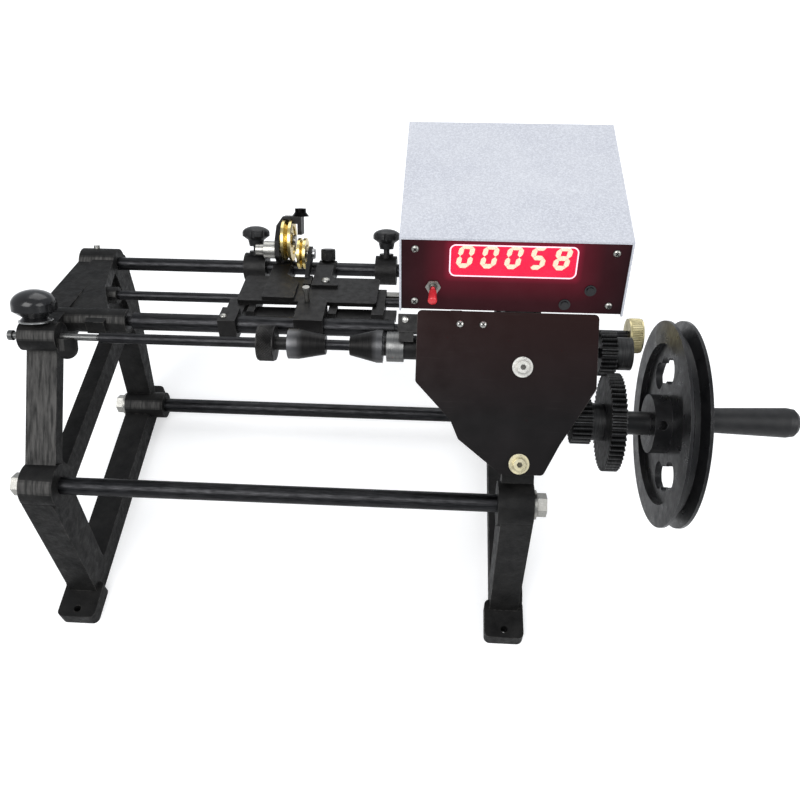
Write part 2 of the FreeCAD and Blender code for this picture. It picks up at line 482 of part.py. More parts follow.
def frame_casting(side):
    """One end frame: side is 1 for the right one and -1 for the left one."""
    half = "dim.frame_wide / 2"
    post_face = "dim.post_thick / 2 - dim.post_drop"
    post_rear = "-dim.post_thick / 2 - dim.post_drop"
    post_foot = "dim.elbow_boss - dim.post_length"
    outside = plate("YZ_Plane", [
        ("dim.leg_front", "0"),
        ("dim.leg_front", "dim.foot_top"),
        ("%s - dim.elbow_boss" % ELBOW[0], ELBOW[1]),
        on_slope(post_foot, post_face),
        on_slope("0", post_face),
        ("dim.spindle_y", "dim.spindle_z + dim.beam_up"),
        (RAIL[0], "%s + dim.beam_up" % RAIL[1]),
        ("%s + dim.corner_back" % RAIL[0], "%s - dim.corner_drop" % RAIL[1]),
        ("dim.knee_y", "dim.knee_z"),
        ("dim.toe_y", "0"),
    ], "-" + half, "dim.frame_wide", "dim.casting_bend")
    leg_back = "dim.knee_y - dim.shank_thick"
    inside = plate("YZ_Plane", [
        on_slope("-dim.spindle_boss - dim.head_over", post_rear),
        on_slope("dim.post_heel - dim.post_length", post_rear),
        ("%s + dim.elbow_reach" % ELBOW[0], "dim.cross_top"),
        ("%s + dim.leg_top_thick" % ELBOW[0], "dim.cross_low"),
        ("dim.leg_front + dim.leg_foot_thick", "dim.base_top"),
        ("dim.toe_y + dim.heel_in - dim.toe_thick", "dim.base_top"),
        (leg_back, "dim.cross_top"),
        (RAIL[0], "%s - dim.beam_down" % RAIL[1]),
    ], "-" + half, "dim.frame_wide", "dim.casting_bend")
    crossbar = block(("-dim.web_wide / 2", ELBOW[0], "dim.cross_low"),
                     ("dim.web_wide", span(ELBOW[0], "dim.knee_y - dim.shank_thick / 2"),
                      span("dim.cross_low", "dim.cross_top")))
    gusset = plate("YZ_Plane", [
        ("dim.gusset_y", "%s + dim.beam_up / 2" % RAIL[1]),
        ("dim.gusset_y", "dim.gusset_z"),
        (leg_back, "dim.cross_top - dim.over"),
        ("%s + dim.beam_up" % RAIL[0], "dim.cross_top - dim.over"),
        ("%s + dim.beam_up" % RAIL[0], RAIL[1]),
    ], "-dim.web_wide / 2", "dim.web_wide")

    def boss(radius, inward, outward, centre):
        low = inward if side > 0 else outward
        return rod(radius, "-(%s)" % low, "%s + %s" % (inward, outward), centre)

    foot_low = "-dim.foot_half - dim.foot_edge"
    rear_front = "dim.rear_tie_y + dim.tie_washer + dim.free_gap"
    pads = [
        plate("XY_Plane", [
            ("-dim.foot_wide / 2", front), ("dim.foot_wide / 2", front),
            ("dim.foot_wide / 2", back), ("-dim.foot_wide / 2", back),
        ], "0", "dim.foot_top", "dim.foot_bend", [(("0", hole), "dim.foot_hole")])
        for front, back, hole in (
            (foot_low, "dim.leg_front + dim.foot_bend + dim.over", "-dim.foot_half"),
            (rear_front, "dim.foot_half + dim.foot_edge", "dim.foot_half"),
        )
    ]
    heel = "dim.toe_y - dim.toe_thick"
    pads.append(block(("-" + half, heel, "0"),
                      ("dim.frame_wide", span(heel, rear_front + " + dim.foot_bend"),
                       "dim.foot_top")))
    bosses = [
        boss("dim.elbow_boss", "dim.boss_out", half, ELBOW),
        boss("dim.rail_boss", "dim.rail_boss_in", half, RAIL),
        boss("dim.rear_boss", "dim.rear_boss_in", half, REAR_TIE),
        boss("dim.foot_boss", half, "dim.foot_boss_out", ("dim.foot_boss_y", "dim.foot_boss")),
    ]
    bores = [
        boss(grown("dim.tie_bolt"), "dim.frame_half", "dim.frame_half", ELBOW),
        boss(grown("dim.tie_bolt"), "dim.frame_half", "dim.frame_half", REAR_TIE),
        boss(grown("dim.rail_radius"), "dim.frame_half", "dim.frame_half", RAIL),
        boss(grown("dim.guide_radius"), "dim.frame_half", "dim.frame_half", GUIDE),
        boss(grown("dim.traverse_radius + dim.bush_wall"), "dim.frame_half", "dim.frame_half",
             TRAVERSE),
        spoke(grown("dim.grub_radius"), "0", "dim.rail_boss * 2", "0", RAIL, "dim.lean", -1),
    ]
    if side > 0:
        reach = "dim.spindle_boss_right - dim.frame_half"
        bosses += [
            boss("dim.spindle_boss", "dim.boss_out", reach, SPINDLE),
            boss("dim.crank_boss", "dim.boss_out", "dim.crank_boss_right - dim.frame_half", CRANK),
        ]
        pillar_top = "dim.plate_face - dim.plate_thick"
        for along in ("dim.bolt_top", "dim.bolt_foot"):
            low = "-dim.post_drop"
            reach = span(low, pillar_top)
            place = on_slope(along)
            shift = "dim.bolt_top_x"
            bosses.append(spoke("dim.pillar_radius", low, reach, shift, place, "dim.slope", 1))
            bores.append(spoke(grown("dim.bolt_radius"), "%s - dim.bolt_grip" % pillar_top,
                               "dim.bolt_grip + dim.over", shift, place, "dim.slope", 1))
        for radius, centre in (("dim.spindle_radius", SPINDLE), ("dim.crank_radius", CRANK)):
            wall = grown("%s + dim.bush_wall" % radius)
            bores.append(boss(wall, "dim.frame_half", "dim.frame_half", centre))
        bores += [bracket_hole(place) for place in bracket_places()]
    else:
        bosses += tail_lug() + [
            shelf(),
            boss("dim.spindle_boss", "dim.tail_boss_in", "dim.tail_boss_out", SPINDLE),
            boss("dim.guide_boss", "dim.guide_boss_in", half, GUIDE),
            boss("dim.traverse_boss", "dim.traverse_boss_in", half, TRAVERSE),
        ]
        bores += [
            boss(grown("dim.pin_radius"), "dim.frame_half", "dim.frame_half", SPINDLE),
            spoke(grown("dim.knob_stem"), "0", "dim.spindle_boss * 2", "0", SPINDLE,
                  "dim.lean", -1),
        ]
    casting = join(cut(outside, inside), crossbar, gusset, *pads, *bosses)
    name = "right_frame" if side > 0 else "left_frame"
    sub_part(name, cut(casting, *bores), x="%d * dim.frame_half" % side)


def shelf():
    """The flat wing of the left frame that carries the guide rod and the traverse shaft."""
    wing = plate("XY_Plane", [
        ("0", "dim.shelf_rear"), ("dim.shelf_rear_wide", "dim.shelf_rear"),
        ("dim.shelf_wide", "0"), ("dim.shelf_nose_right", "dim.shelf_nose_back"),
        ("dim.shelf_nose_right", "dim.shelf_nose"), ("dim.shelf_nose_left", "dim.shelf_nose"),
        ("dim.shelf_wide", "dim.shelf_front"), ("0", "dim.shelf_front"),
    ], "dim.shelf_low", "dim.shelf_thick")
    return put(wing, ("0",) + GUIDE, "dim.guide_tilt", -1)


def tail_lug():
    """The round-ended lug under the tail pin, along the tail knob's axis."""
    reach = "(dim.lug_drop - dim.lug_radius)"
    shank = spoke("dim.lug_radius", "-" + reach, reach, "dim.lug_place", SPINDLE, "dim.lean", -1)
    ball = document.addObject("Part::Sphere", "Ball")
    ball.setExpression("Radius", "dim.lug_radius")
    low = ("%s - %s * sin(dim.lean)" % (SPINDLE[0], reach),
           "%s - %s * cos(dim.lean)" % (SPINDLE[1], reach))
    return [shank, put(ball, ("dim.lug_place",) + low)]


def bracket_places():
    """World Y and Z of the two bolts that hold the counter's bracket to the right frame."""
    return [
        ("dim.bracket_front + dim.bracket_bolt_inset", "%s + dim.beam_up" % RAIL[1]),
        ("dim.bracket_back - dim.bracket_bolt_inset", RAIL[1]),
    ]


def bracket_hole(place):
    """The hole in the right frame's outer face for a bolt of the counter's bracket."""
    return rod(grown("dim.bracket_bolt"), "dim.frame_wide / 2 - dim.bracket_bolt_grip",
               "dim.bracket_bolt_grip", place)


def tie_rods():
    ends = (("dim.boss_out", ELBOW), ("dim.rear_boss_in", REAR_TIE))
    rods = []
    for boss_in, centre in ends:
        half = "(dim.frame_half - %s)" % boss_in
        bar = rod("dim.tie_radius", "-" + half, "2 * %s" % half, centre)
        bore = grown("dim.tie_bolt", "dim.bed_gap")
        deep = "dim.tie_bolt_grip"
        left = rod(bore, "-%s" % half, deep, centre)
        right = rod(bore, "%s - %s" % (half, deep), deep, centre)
        rods.append(cut(bar, left, right))
    sub_part("tie_rods", group(*rods))


def tie_bolts():
    bolts = []
    for boss_in, centre in (("dim.boss_out", ELBOW), ("dim.rear_boss_in", REAR_TIE)):
        face = "(dim.frame_half + dim.frame_wide / 2)"
        tip = "(dim.frame_half - %s - dim.tie_bolt_grip + dim.over)" % boss_in
        under = "(%s + dim.tie_washer_thick)" % face
        for side in (1, -1):
            low = tip if side > 0 else "-%s" % face
            shank = rod("dim.tie_bolt", low, span(tip, face), centre)
            low = face if side > 0 else "-%s" % under
            washer = rod("dim.tie_washer", low, "dim.tie_washer_thick", centre)
            low = under if side > 0 else "-(%s + dim.tie_head_high)" % under
            head = hexagon("dim.tie_head", low, "dim.tie_head_high", centre)
            bolts.append(join(shank, washer, head))
    sub_part("tie_bolts", group(*bolts))


def rails():
    end = "(dim.frame_half + dim.frame_wide / 2 - dim.rod_inset)"
    sub_part("guide_rail", rod("dim.rail_radius", "-" + end, "2 * " + end, RAIL))
    sub_part("guide_rod", rod("dim.guide_radius", "-" + end, "2 * " + end, GUIDE))


def shaft_bushes():
    """Plain bearings of the spindle, the crank shaft and the traverse shaft."""
    bushes = []

    def bush(radius, low, reach, centre):
        outer = rod("%s + dim.bush_wall" % radius, low, reach, centre)
        bushes.append(cut(outer, rod(grown(radius), low, reach, centre)))

    inner = "dim.frame_half - dim.boss_out"
    bush("dim.spindle_radius", inner, "dim.bush_length", SPINDLE)
    bush("dim.spindle_radius", "dim.spindle_boss_right - dim.bush_length", "dim.bush_length",
         SPINDLE)
    bush("dim.crank_radius", inner, "dim.bush_length", CRANK)
    bush("dim.crank_radius", "dim.crank_boss_right - dim.bush_length", "dim.bush_length", CRANK)
    bush("dim.traverse_radius", "dim.frame_half - dim.frame_wide / 2", "dim.frame_wide", TRAVERSE)
    bush("dim.traverse_radius", "-dim.frame_half - dim.frame_wide / 2",
         "dim.frame_wide / 2 + dim.traverse_boss_in", TRAVERSE)
    sub_part("shaft_bushes", group(*bushes))


def frame_screws():
    """Grub screws of the rail and bolts of the counter's bracket."""
    screws = []
    for side in (1, -1):
        low = "dim.rail_radius + dim.run_gap"
        reach = "dim.rail_boss + dim.grub_proud - dim.rail_radius - dim.run_gap"
        screws.append(spoke("dim.grub_radius", low, reach, "%d * dim.frame_half" % side, RAIL,
                            "dim.lean", -1))
    outer = "dim.frame_half + dim.frame_wide / 2 + dim.bracket_sheet"
    for place in bracket_places():
        shank = rod("dim.bracket_bolt", outer + " - dim.bracket_bolt_grip", "dim.bracket_bolt_grip",
                    place)
        head = hexagon("dim.bracket_bolt_head", outer, "dim.bracket_bolt_high", place)
        screws.append(join(shank, head))
    for x, y in flange_places():
        base = "dim.counter_low + dim.sheet_wall"
        shank = post("dim.bracket_bolt", "dim.counter_low - dim.bracket_flange - dim.over",
                     "dim.bracket_flange + dim.over + dim.sheet_wall", x, y)
        head = hexagon("dim.bracket_bolt_head", base, "dim.bracket_bolt_high", (x, y), False)
        nut_low = "dim.counter_low - dim.bracket_flange - dim.bracket_bolt_high"
        nut = hexagon("dim.bracket_bolt_head", nut_low, "dim.bracket_bolt_high", (x, y), False)
        screws.append(join(shank, head, nut))
    sub_part("frame_screws", group(*screws))


def flange_places():
    """World X and Y of the bolts between the bracket's flange and the counter's base."""
    right = "dim.frame_half + dim.frame_wide / 2 + dim.bracket_sheet"
    near = "%s - dim.bracket_bolt_inset" % right
    far = "%s - dim.bracket_flange_wide + dim.bracket_bolt_inset" % right
    return [(x, y) for x in (near, far)
            for y in ("dim.bracket_front + dim.bracket_bolt_inset",
                      "dim.bracket_back - dim.bracket_bolt_inset")]


def box_bracket():
    left = "dim.frame_half + dim.frame_wide / 2"
    deep = span("dim.bracket_front", "dim.bracket_back")
    flange_low = "dim.counter_low - dim.bracket_flange"
    web = block((left, "dim.bracket_front", "dim.bracket_low"),
                ("dim.bracket_sheet", deep, span("dim.bracket_low", flange_low)))
    flange = block((left + " + dim.bracket_sheet - dim.bracket_flange_wide", "dim.bracket_front",
                    flange_low), ("dim.bracket_flange_wide", deep, "dim.bracket_flange"))
    holes = [rod(grown("dim.bracket_bolt"), left, "dim.bracket_sheet", place)
             for place in bracket_places()]
    holes += [post(grown("dim.bracket_bolt"), flange_low, "dim.bracket_flange", x, y)
              for x, y in flange_places()]
    sub_part("box_bracket", cut(join(web, flange), *holes))


# ---------------------------------------------------------------- headstock

BOLT_X = "dim.frame_half + dim.bolt_top_x"
STRAP_SCREWS = ("dim.strap_screw_left", "dim.strap_screw_left + dim.strap_screw_pitch")


def headstock_plate():
    holes = [((BOLT_X, along), grown("dim.bolt_radius")) for along in
             ("dim.bolt_top", "dim.bolt_foot")]
    holes += [((x, "dim.strap_screw"), grown("dim.small_screw")) for x in STRAP_SCREWS]
    outline = [
        ("dim.plate_left", "dim.plate_top"),
        ("dim.plate_left", "dim.plate_left_low"),
        ("dim.plate_step_right", "dim.plate_step"),
        ("dim.plate_waist_left", "dim.plate_waist"),
        ("dim.plate_foot_left", "dim.plate_foot"),
        ("dim.plate_foot_right", "dim.plate_foot"),
        ("dim.plate_knee_right", "dim.plate_knee"),
        ("dim.plate_right", "dim.plate_right_low"),
        ("dim.plate_right", "dim.plate_top"),
    ]
    piece = plate("XY_Plane", outline, "dim.plate_face - dim.plate_thick", "dim.plate_thick",
                  "dim.plate_bend", holes)
    sub_part("headstock_plate", piece, SLOPE_FRAME)


def plate_bolts():
    bolts = []
    for along in ("dim.bolt_top", "dim.bolt_foot"):
        washer = cut(post("dim.washer_radius", "dim.plate_face", "dim.washer_thick", BOLT_X, along),
                     post(grown("dim.bolt_radius"), "dim.plate_face", "dim.washer_thick", BOLT_X,
                          along))
        seat = "dim.plate_face + dim.washer_thick"
        shank = post("dim.bolt_radius", "dim.plate_face - dim.plate_thick - dim.bolt_grip + 1",
                     "dim.plate_thick + dim.bolt_grip - 1 + dim.washer_thick", BOLT_X, along)
        head = post("dim.bolt_head", seat, "dim.bolt_head_high", BOLT_X, along)
        socket = document.addObject("Part::Prism", "Socket")
        bind(socket, {"Circumradius": "dim.bolt_head / 2", "Height": "dim.bolt_head_high"})
        put(socket, (BOLT_X, along, seat + " + dim.bolt_head_high / 2"))
        bolts += [washer, cut(join(shank, head), socket)]
    sub_part("plate_screws", group(*bolts, *sensor_screws()), SLOPE_FRAME)


def small_screw(x, y, seat, grip):
    """A small pan-head screw along Z, its head on z = seat."""
    shank = post("dim.small_screw", "%s - (%s)" % (seat, grip), grip, x, y)
    return join(shank, dome("dim.small_head", "dim.small_head_high", seat, False, (x, y)))


def sensor_screws():
    """Two screws that hold the sensor's strap to the plate, and one that holds the sensor."""
    screws = [small_screw(x, "dim.strap_screw", "dim.plate_face",
                          "dim.plate_thick + dim.strap_thick") for x in STRAP_SCREWS]
    behind = "dim.plate_face - dim.plate_thick"
    screws.append(small_screw("dim.sensor_screw_left", "dim.sensor_screw", behind,
                              "dim.strap_thick + dim.over"))
    return screws


def turn_sensor():
    """A strap behind the plate with the sensor that counts the spindle hub's turns."""
    behind = "dim.plate_face - dim.plate_thick"
    low = behind + " - dim.strap_thick"
    outline = [("dim.strap_left", "dim.strap_low"), ("dim.strap_right", "dim.strap_low"),
               ("dim.strap_right", "dim.strap_high"), ("dim.strap_left", "dim.strap_high")]
    holes = [((x, "dim.strap_screw"), "dim.small_screw + dim.run_gap") for x in STRAP_SCREWS]
    holes.append((("dim.sensor_screw_left", "dim.sensor_screw"), "dim.small_screw + dim.run_gap"))
    strap = plate("XY_Plane", outline, low, "dim.strap_thick", None, holes)
    sensor_low = "dim.hub_radius + dim.sensor_gap"
    sensor = block(("dim.sensor_left", "dim.sensor_low", sensor_low),
                   ("dim.sensor_wide", span("dim.sensor_low", "dim.strap_high"),
                    span(sensor_low, low)))
    drill = post("dim.small_screw + dim.run_gap", sensor_low, span(sensor_low, low),
                 "dim.sensor_screw_left", "dim.sensor_screw")
    sub_part("turn_sensor", group(strap, cut(sensor, drill)), SLOPE_FRAME)


# ---------------------------------------------------------------- winding spindle

def spindle():
    shaft = rod("dim.spindle_radius", "dim.spindle_left", span("dim.spindle_left",
                "dim.spindle_right"), SPINDLE)
    centre = rod(grown("dim.pin_tip"), "dim.spindle_left", "dim.centre_depth", SPINDLE)
    sub_part("spindle_shaft", cut(shaft, centre))
    bore = grown("dim.spindle_radius", "dim.bed_gap")
    hub_left = "dim.top_gear_left + dim.top_gear_width"
    teeth = gear(size("pinion_teeth"), size("gear_module"), size("top_gear_width"),
                 size("spindle_radius") + size("bed_gap"), 180 + 180 / size("pinion_teeth"))
    teeth.setExpression("Placement.Base.x", "dim.top_gear_left")
    hub_reach = span(hub_left, "dim.top_hub_right")
    hub = cut(rod("dim.top_hub_radius", hub_left, hub_reach), rod(bore, hub_left, hub_reach))
    sub_part("spindle_gear", join(teeth, hub), SLOPE_FRAME)
    pinion = gear(size("pair_teeth"), size("pair_module"), size("pair_width"),
                  size("spindle_radius") + size("bed_gap"), 0)
    turn = "dim.traverse_tilt"
    sub_part("spindle_pinion", put(pinion, ("dim.pair_left",) + SPINDLE, turn, -1))

    hub_left = "dim.collar_left + dim.collar_length"
    hub_reach = span(hub_left, "dim.hub_right")
    sub_part("spindle_hub", cut(rod("dim.hub_radius", hub_left, hub_reach, SPINDLE),
                                rod(bore, hub_left, hub_reach, SPINDLE)))
    collar = rod("dim.collar_radius", "dim.collar_left", "dim.collar_length", SPINDLE)
    sub_part("steel_collar", cut(collar, rod(bore, "dim.collar_left", "dim.collar_length",
                                             SPINDLE)))
    right_end = "dim.right_cone_left + dim.right_cone_length"
    cone = turned([
        ("dim.right_cone_left", bore), ("dim.right_cone_left", "dim.cone_tip"),
        (right_end + " - dim.right_cone_land", "dim.right_cone_radius"),
        (right_end, "dim.right_cone_radius"), (right_end, "dim.right_neck"),
        ("dim.collar_left", "dim.right_neck"), ("dim.collar_left", bore),
    ])
    sub_part("right_cone", put(cone, ("0",) + SPINDLE))


def left_clamp():
    bore = grown("dim.spindle_radius")
    end = "dim.cone_left + dim.cone_length"
    cone = turned([
        ("dim.cone_left", bore), ("dim.cone_left", "dim.cone_radius"),
        ("dim.cone_left + dim.cone_land", "dim.cone_radius"),
        (end, "dim.cone_tip"), (end, bore),
    ])
    sub_part("left_cone", put(cone, ("0",) + SPINDLE))
    rim = "dim.nut_left + dim.nut_length"
    face = "dim.cone_left - dim.run_gap"
    nut = turned([
        ("dim.nut_left", bore), ("dim.nut_left", "dim.nut_radius"), (rim, "dim.nut_radius"),
        (rim, "dim.nut_neck_radius"), (face, "dim.nut_neck_radius"), (face, bore),
    ])
    sub_part("clamp_nut", put(nut, ("0",) + SPINDLE))


PIN_LEFT = "(-dim.frame_half - dim.tail_boss_out - dim.pin_left)"


def tailstock():
    shoulder = "dim.spindle_left - dim.pin_gap"
    shank = rod("dim.pin_radius", PIN_LEFT, span(PIN_LEFT, shoulder), SPINDLE)
    tip = rod("dim.pin_tip", shoulder, "dim.pin_tip_length", SPINDLE)
    head = rod("dim.pin_head_radius", PIN_LEFT, "dim.pin_head_length", SPINDLE)
    sub_part("tail_pin", join(shank, tip, head))
    washer_low = "dim.spindle_boss + dim.run_gap"
    collar_low = washer_low + " + dim.knob_washer_high"
    neck_low = collar_low + " + dim.knob_collar_high"
    rim_low = neck_low + " + dim.knob_neck_high"
    stem_low = "dim.pin_radius + dim.run_gap"
    dome_low = rim_low + " + dim.knob_rim"
    knob = join(post("dim.knob_stem", stem_low, span(stem_low, neck_low)),
                post("dim.knob_washer", washer_low, "dim.knob_washer_high"),
                taper("dim.knob_collar", "dim.knob_neck", collar_low, "dim.knob_collar_high"),
                taper("dim.knob_neck", "dim.knob_radius", neck_low, "dim.knob_neck_high"),
                post("dim.knob_radius", rim_low, "dim.knob_rim"),
                dome("dim.knob_radius", "dim.knob_dome", dome_low))
    sub_part("tail_knob", knob, TAIL_FRAME, "-dim.frame_half")


# ---------------------------------------------------------------- crank shaft and wheel

WHEEL_RIGHT = "(dim.wheel_left + dim.wheel_wide)"
CRANK_END = "(%s - dim.crank_end)" % WHEEL_RIGHT
GRIP_LEFT = "(%s + dim.grip_left)" % WHEEL_RIGHT


def crank():
    collar_left = "dim.frame_half - dim.boss_out - dim.free_gap - dim.crank_collar_length"
    shaft = rod("dim.crank_radius", collar_left, span(collar_left, CRANK_END), CRANK)
    collar = rod("dim.crank_collar", collar_left, "dim.crank_collar_length", CRANK)
    sub_part("crank_shaft", join(shaft, collar))
    bore = size("crank_radius") + size("bed_gap")
    large = gear(size("wheel_teeth"), size("gear_module"), size("gear_width"), bore, 0)
    large.setExpression("Placement.Base.x", "dim.gear_left")
    small = gear(size("pinion_teeth"), size("gear_module"), size("slow_gear_width"), bore, 0)
    small.setExpression("Placement.Base.x", "dim.slow_gear_left")
    hub_left = "dim.slow_gear_left + dim.slow_gear_width"
    hub_reach = span(hub_left, "dim.gear_left")
    hub = cut(rod("dim.slow_hub_radius", hub_left, hub_reach),
              rod(grown("dim.crank_radius", "dim.bed_gap"), hub_left, hub_reach))
    compound = join(large, small, hub)
    compound.Label = "compound_gear"
    sub_parts["compound_gear"] = compound
    put(compound, ("0",) + CRANK, "dim.slope", 1)


def handwheel():
    bore = grown("dim.crank_radius", "dim.bed_gap")
    right = WHEEL_RIGHT
    neck_left = "dim.gear_left + dim.gear_width"
    hub_left = "dim.wheel_left - dim.hub_proud"
    web_left = "dim.wheel_left + dim.web_left"
    web_right = web_left + " + dim.wheel_web"
    middle = "dim.wheel_left + dim.wheel_wide / 2"
    floor = "dim.groove_floor / 2"
    blank = turned([
        (neck_left, bore), (neck_left, "dim.wheel_neck"), (hub_left, "dim.wheel_neck"),
        (hub_left, "dim.wheel_hub"), (web_left, "dim.wheel_hub"), (web_left, "dim.rim_inner"),
        ("dim.wheel_left", "dim.rim_inner"), ("dim.wheel_left", "dim.wheel_radius"),
        ("dim.wheel_left + dim.flange_edge", "dim.wheel_radius"),
        ("%s - %s" % (middle, floor), "dim.groove_radius"),
        ("%s + %s" % (middle, floor), "dim.groove_radius"),
        (right + " - dim.flange_edge", "dim.wheel_radius"), (right, "dim.wheel_radius"),
        (right, "dim.rim_inner"), (web_right, "dim.rim_inner"), (web_right, "dim.wheel_hub"),
        (right, "dim.wheel_hub"), (right, "dim.wheel_neck"), (CRANK_END, "dim.wheel_neck"),
        (CRANK_END, bore),
    ])
    windows = []
    for side in (90, -90):
        for step in (-1, 0, 1):
            turn = "(dim.crank_angle + %d + %d * dim.window_sweep)" % (side, step)
            place = ("dim.window_place * cos(%s)" % turn, "dim.window_place * sin(%s)" % turn)
            windows.append(rod("dim.window_radius", web_left, "dim.wheel_web", place))
    place = ("dim.handle_reach * cos(dim.crank_angle)", "dim.handle_reach * sin(dim.crank_angle)")
    boss = rod("dim.handle_boss", web_left, span(web_left, right), place)
    pin_hole = rod(grown("dim.handle_pin"), web_left, span(web_left, right), place)
    drill = spoke("dim.set_screw_hole", "dim.crank_radius", "dim.wheel_hub",
                  "dim.wheel_left - dim.hub_proud / 3", ("0", "0"), "dim.slope", 1)
    wheel = cut(join(cut(blank, *windows), boss), pin_hole, drill)
    sub_part("handwheel", put(wheel, ("0",) + CRANK))


def handle():
    web_left = "dim.wheel_left + dim.web_left"
    end = GRIP_LEFT + " + dim.grip_length"
    head_left = end + " - dim.grip_head_depth"
    shank = rod("dim.handle_pin", web_left, span(web_left, head_left), HANDLE)
    flange = rod("dim.pin_flange", WHEEL_RIGHT, "dim.pin_flange_thick", HANDLE)
    head = rod("dim.grip_head", head_left, "dim.grip_head_thick", HANDLE)
    sub_part("handle_pin", join(shank, flange, head))
    grip = turned([
        (GRIP_LEFT, grown("dim.handle_pin")), (GRIP_LEFT, "dim.grip_root"),
        (end + " - dim.grip_dome", "dim.grip_radius"),
        (end + " - dim.grip_dome / 3", "dim.grip_shoulder"),
        (end, "dim.grip_end"), (end, "dim.grip_head + dim.free_gap"),
        (head_left + " - dim.free_gap", "dim.grip_head + dim.free_gap"),
        (head_left + " - dim.free_gap", grown("dim.handle_pin")),
    ])
    sub_part("handle_grip", put(grip, ("0",) + HANDLE))


# ---------------------------------------------------------------- traverse shaft

def traverse():
    left = "(dim.frame_half + dim.frame_wide / 2)"
    shaft = rod("dim.traverse_radius", "-" + left, left + " + dim.traverse_right", TRAVERSE)
    body = rod("dim.traverse_body", "dim.traverse_body_left",
               span("dim.traverse_body_left", "dim.traverse_body_right"), TRAVERSE)
    sub_part("traverse_shaft", join(shaft, body))
    bore = size("traverse_radius") + size("bed_gap")
    wheel = gear(size("pair_teeth"), size("pair_module"), size("pair_width"), bore,
                 180 + 180 / size("pair_teeth"))
    sub_part("traverse_gear", put(wheel, ("dim.pair_left",) + TRAVERSE, "dim.traverse_tilt", -1))
    knob = rod("dim.brass_radius", "dim.brass_left", "dim.brass_length", TRAVERSE)
    hole = rod(grown("dim.traverse_radius", "dim.bed_gap"), "dim.brass_left", "dim.brass_length",
               TRAVERSE)
    sub_part("brass_nut", cut(knob, hole))


# ---------------------------------------------------------------- carriage

RAIL_IN_GUIDE = ("dim.rail_reach", "0")
SADDLE_TOP = "(dim.saddle_low + dim.saddle_thick)"
HEX_CENTRE = ("dim.hex_y", "dim.hex_z")


def saddle_plate():
    outline = [("dim.saddle_left", "dim.saddle_front"), ("dim.saddle_right", "dim.saddle_front"),
               ("dim.saddle_right", "dim.saddle_back"), ("dim.saddle_left", "dim.saddle_back")]
    top = plate("XY_Plane", outline, "dim.saddle_low", "dim.saddle_thick", "dim.saddle_bend")
    pieces = [top] + carriage_bar()
    bores = []
    for left, wide, back in (("dim.left_lug_left", "dim.left_lug_wide", "dim.lug_half"),
                             ("dim.right_lug_left", "dim.right_lug_wide",
                              "dim.hex_y + dim.hex_radius")):
        size_text = (wide, "dim.lug_half + %s" % back, "dim.lug_half + dim.saddle_low")
        pieces.append(block((left, "-dim.lug_half", "-dim.lug_half"), size_text))
        bores.append(rod(grown("dim.guide_radius"), left, wide))
    bores.append(rod(grown("dim.stud_radius"), "dim.right_lug_left", "dim.right_lug_wide",
                     HEX_CENTRE))
    sub_part("saddle_plate", cut(join(*pieces), *bores), GUIDE_FRAME)


def carriage_bar():
    """The flat bar in front of the saddle, left and right of the box, and its webs."""
    left = "(dim.fork_foot_right + dim.free_gap)"
    box_left = "(dim.box_left - dim.free_gap)"
    box_right = "(dim.box_left + dim.box_wide + dim.free_gap)"
    pieces = []
    for low, high in ((left, box_left), (box_right, "dim.bar_right")):
        pieces.append(block((low, "dim.bar_front", "dim.bar_low"),
                            (span(low, high), span("dim.bar_front", "dim.bar_back"),
                             "dim.bar_thick")))
    webs = (
        (left, "dim.left_lug_left + dim.left_lug_wide", "0"),
        (box_left + " - dim.bar_left_web", box_left, "dim.bar_back"),
        (box_right, box_right + " + dim.bar_right_web", "dim.bar_back"),
        ("dim.right_lug_left", "dim.right_lug_left + dim.right_lug_wide", "0"),
    )
    for low, high, back in webs:
        pieces.append(block((low, "dim.bar_front", "dim.bar_low"),
                            (span(low, high), span("dim.bar_front", back),
                             span("dim.bar_low", "dim.saddle_low"))))
    return pieces


def rail_blocks():
    blocks = []
    for left, front, flare in (
        ("dim.left_block_left", "dim.left_tongue_front", "dim.left_tongue_flare"),
        ("dim.right_block_left", "dim.tongue_front", "dim.right_tongue_flare"),
    ):
        boss = rod("dim.block_boss", left, "dim.block_wide", RAIL_IN_GUIDE)
        arm = block((left, "dim.saddle_back", "dim.arm_low"),
                    ("dim.block_wide", span("dim.saddle_back", "dim.rail_reach"),
                     span("dim.arm_low", "dim.saddle_low")))
        step = block((left, "dim.saddle_back", "dim.arm_low"),
                     ("dim.block_wide", span("dim.saddle_back", "dim.tongue_back"),
                      span("dim.arm_low", SADDLE_TOP)))
        right = left + " + dim.block_wide"
        flared = "%s + %s" % (right, flare)
        tongue = plate("XY_Plane", [
            (left, front), (flared, front), (flared, "dim.tongue_shoulder"),
            (right, "dim.saddle_back"), (right, "dim.tongue_back"), (left, "dim.tongue_back"),
        ], SADDLE_TOP, "dim.tongue_thick")
        bore = rod(grown("dim.rail_radius"), left, "dim.block_wide", RAIL_IN_GUIDE)
        drills = [bore]
        if left == "dim.right_block_left":
            turn = "(dim.lean - dim.guide_tilt)"
            drills.append(spoke(grown("dim.thumb_stem"), "0", "dim.block_boss * 2",
                                left + " + dim.block_wide / 2", RAIL_IN_GUIDE, turn, -1))
        blocks.append(cut(join(boss, arm, step, tongue), *drills))
    sub_part("rail_blocks", group(*blocks), GUIDE_FRAME)


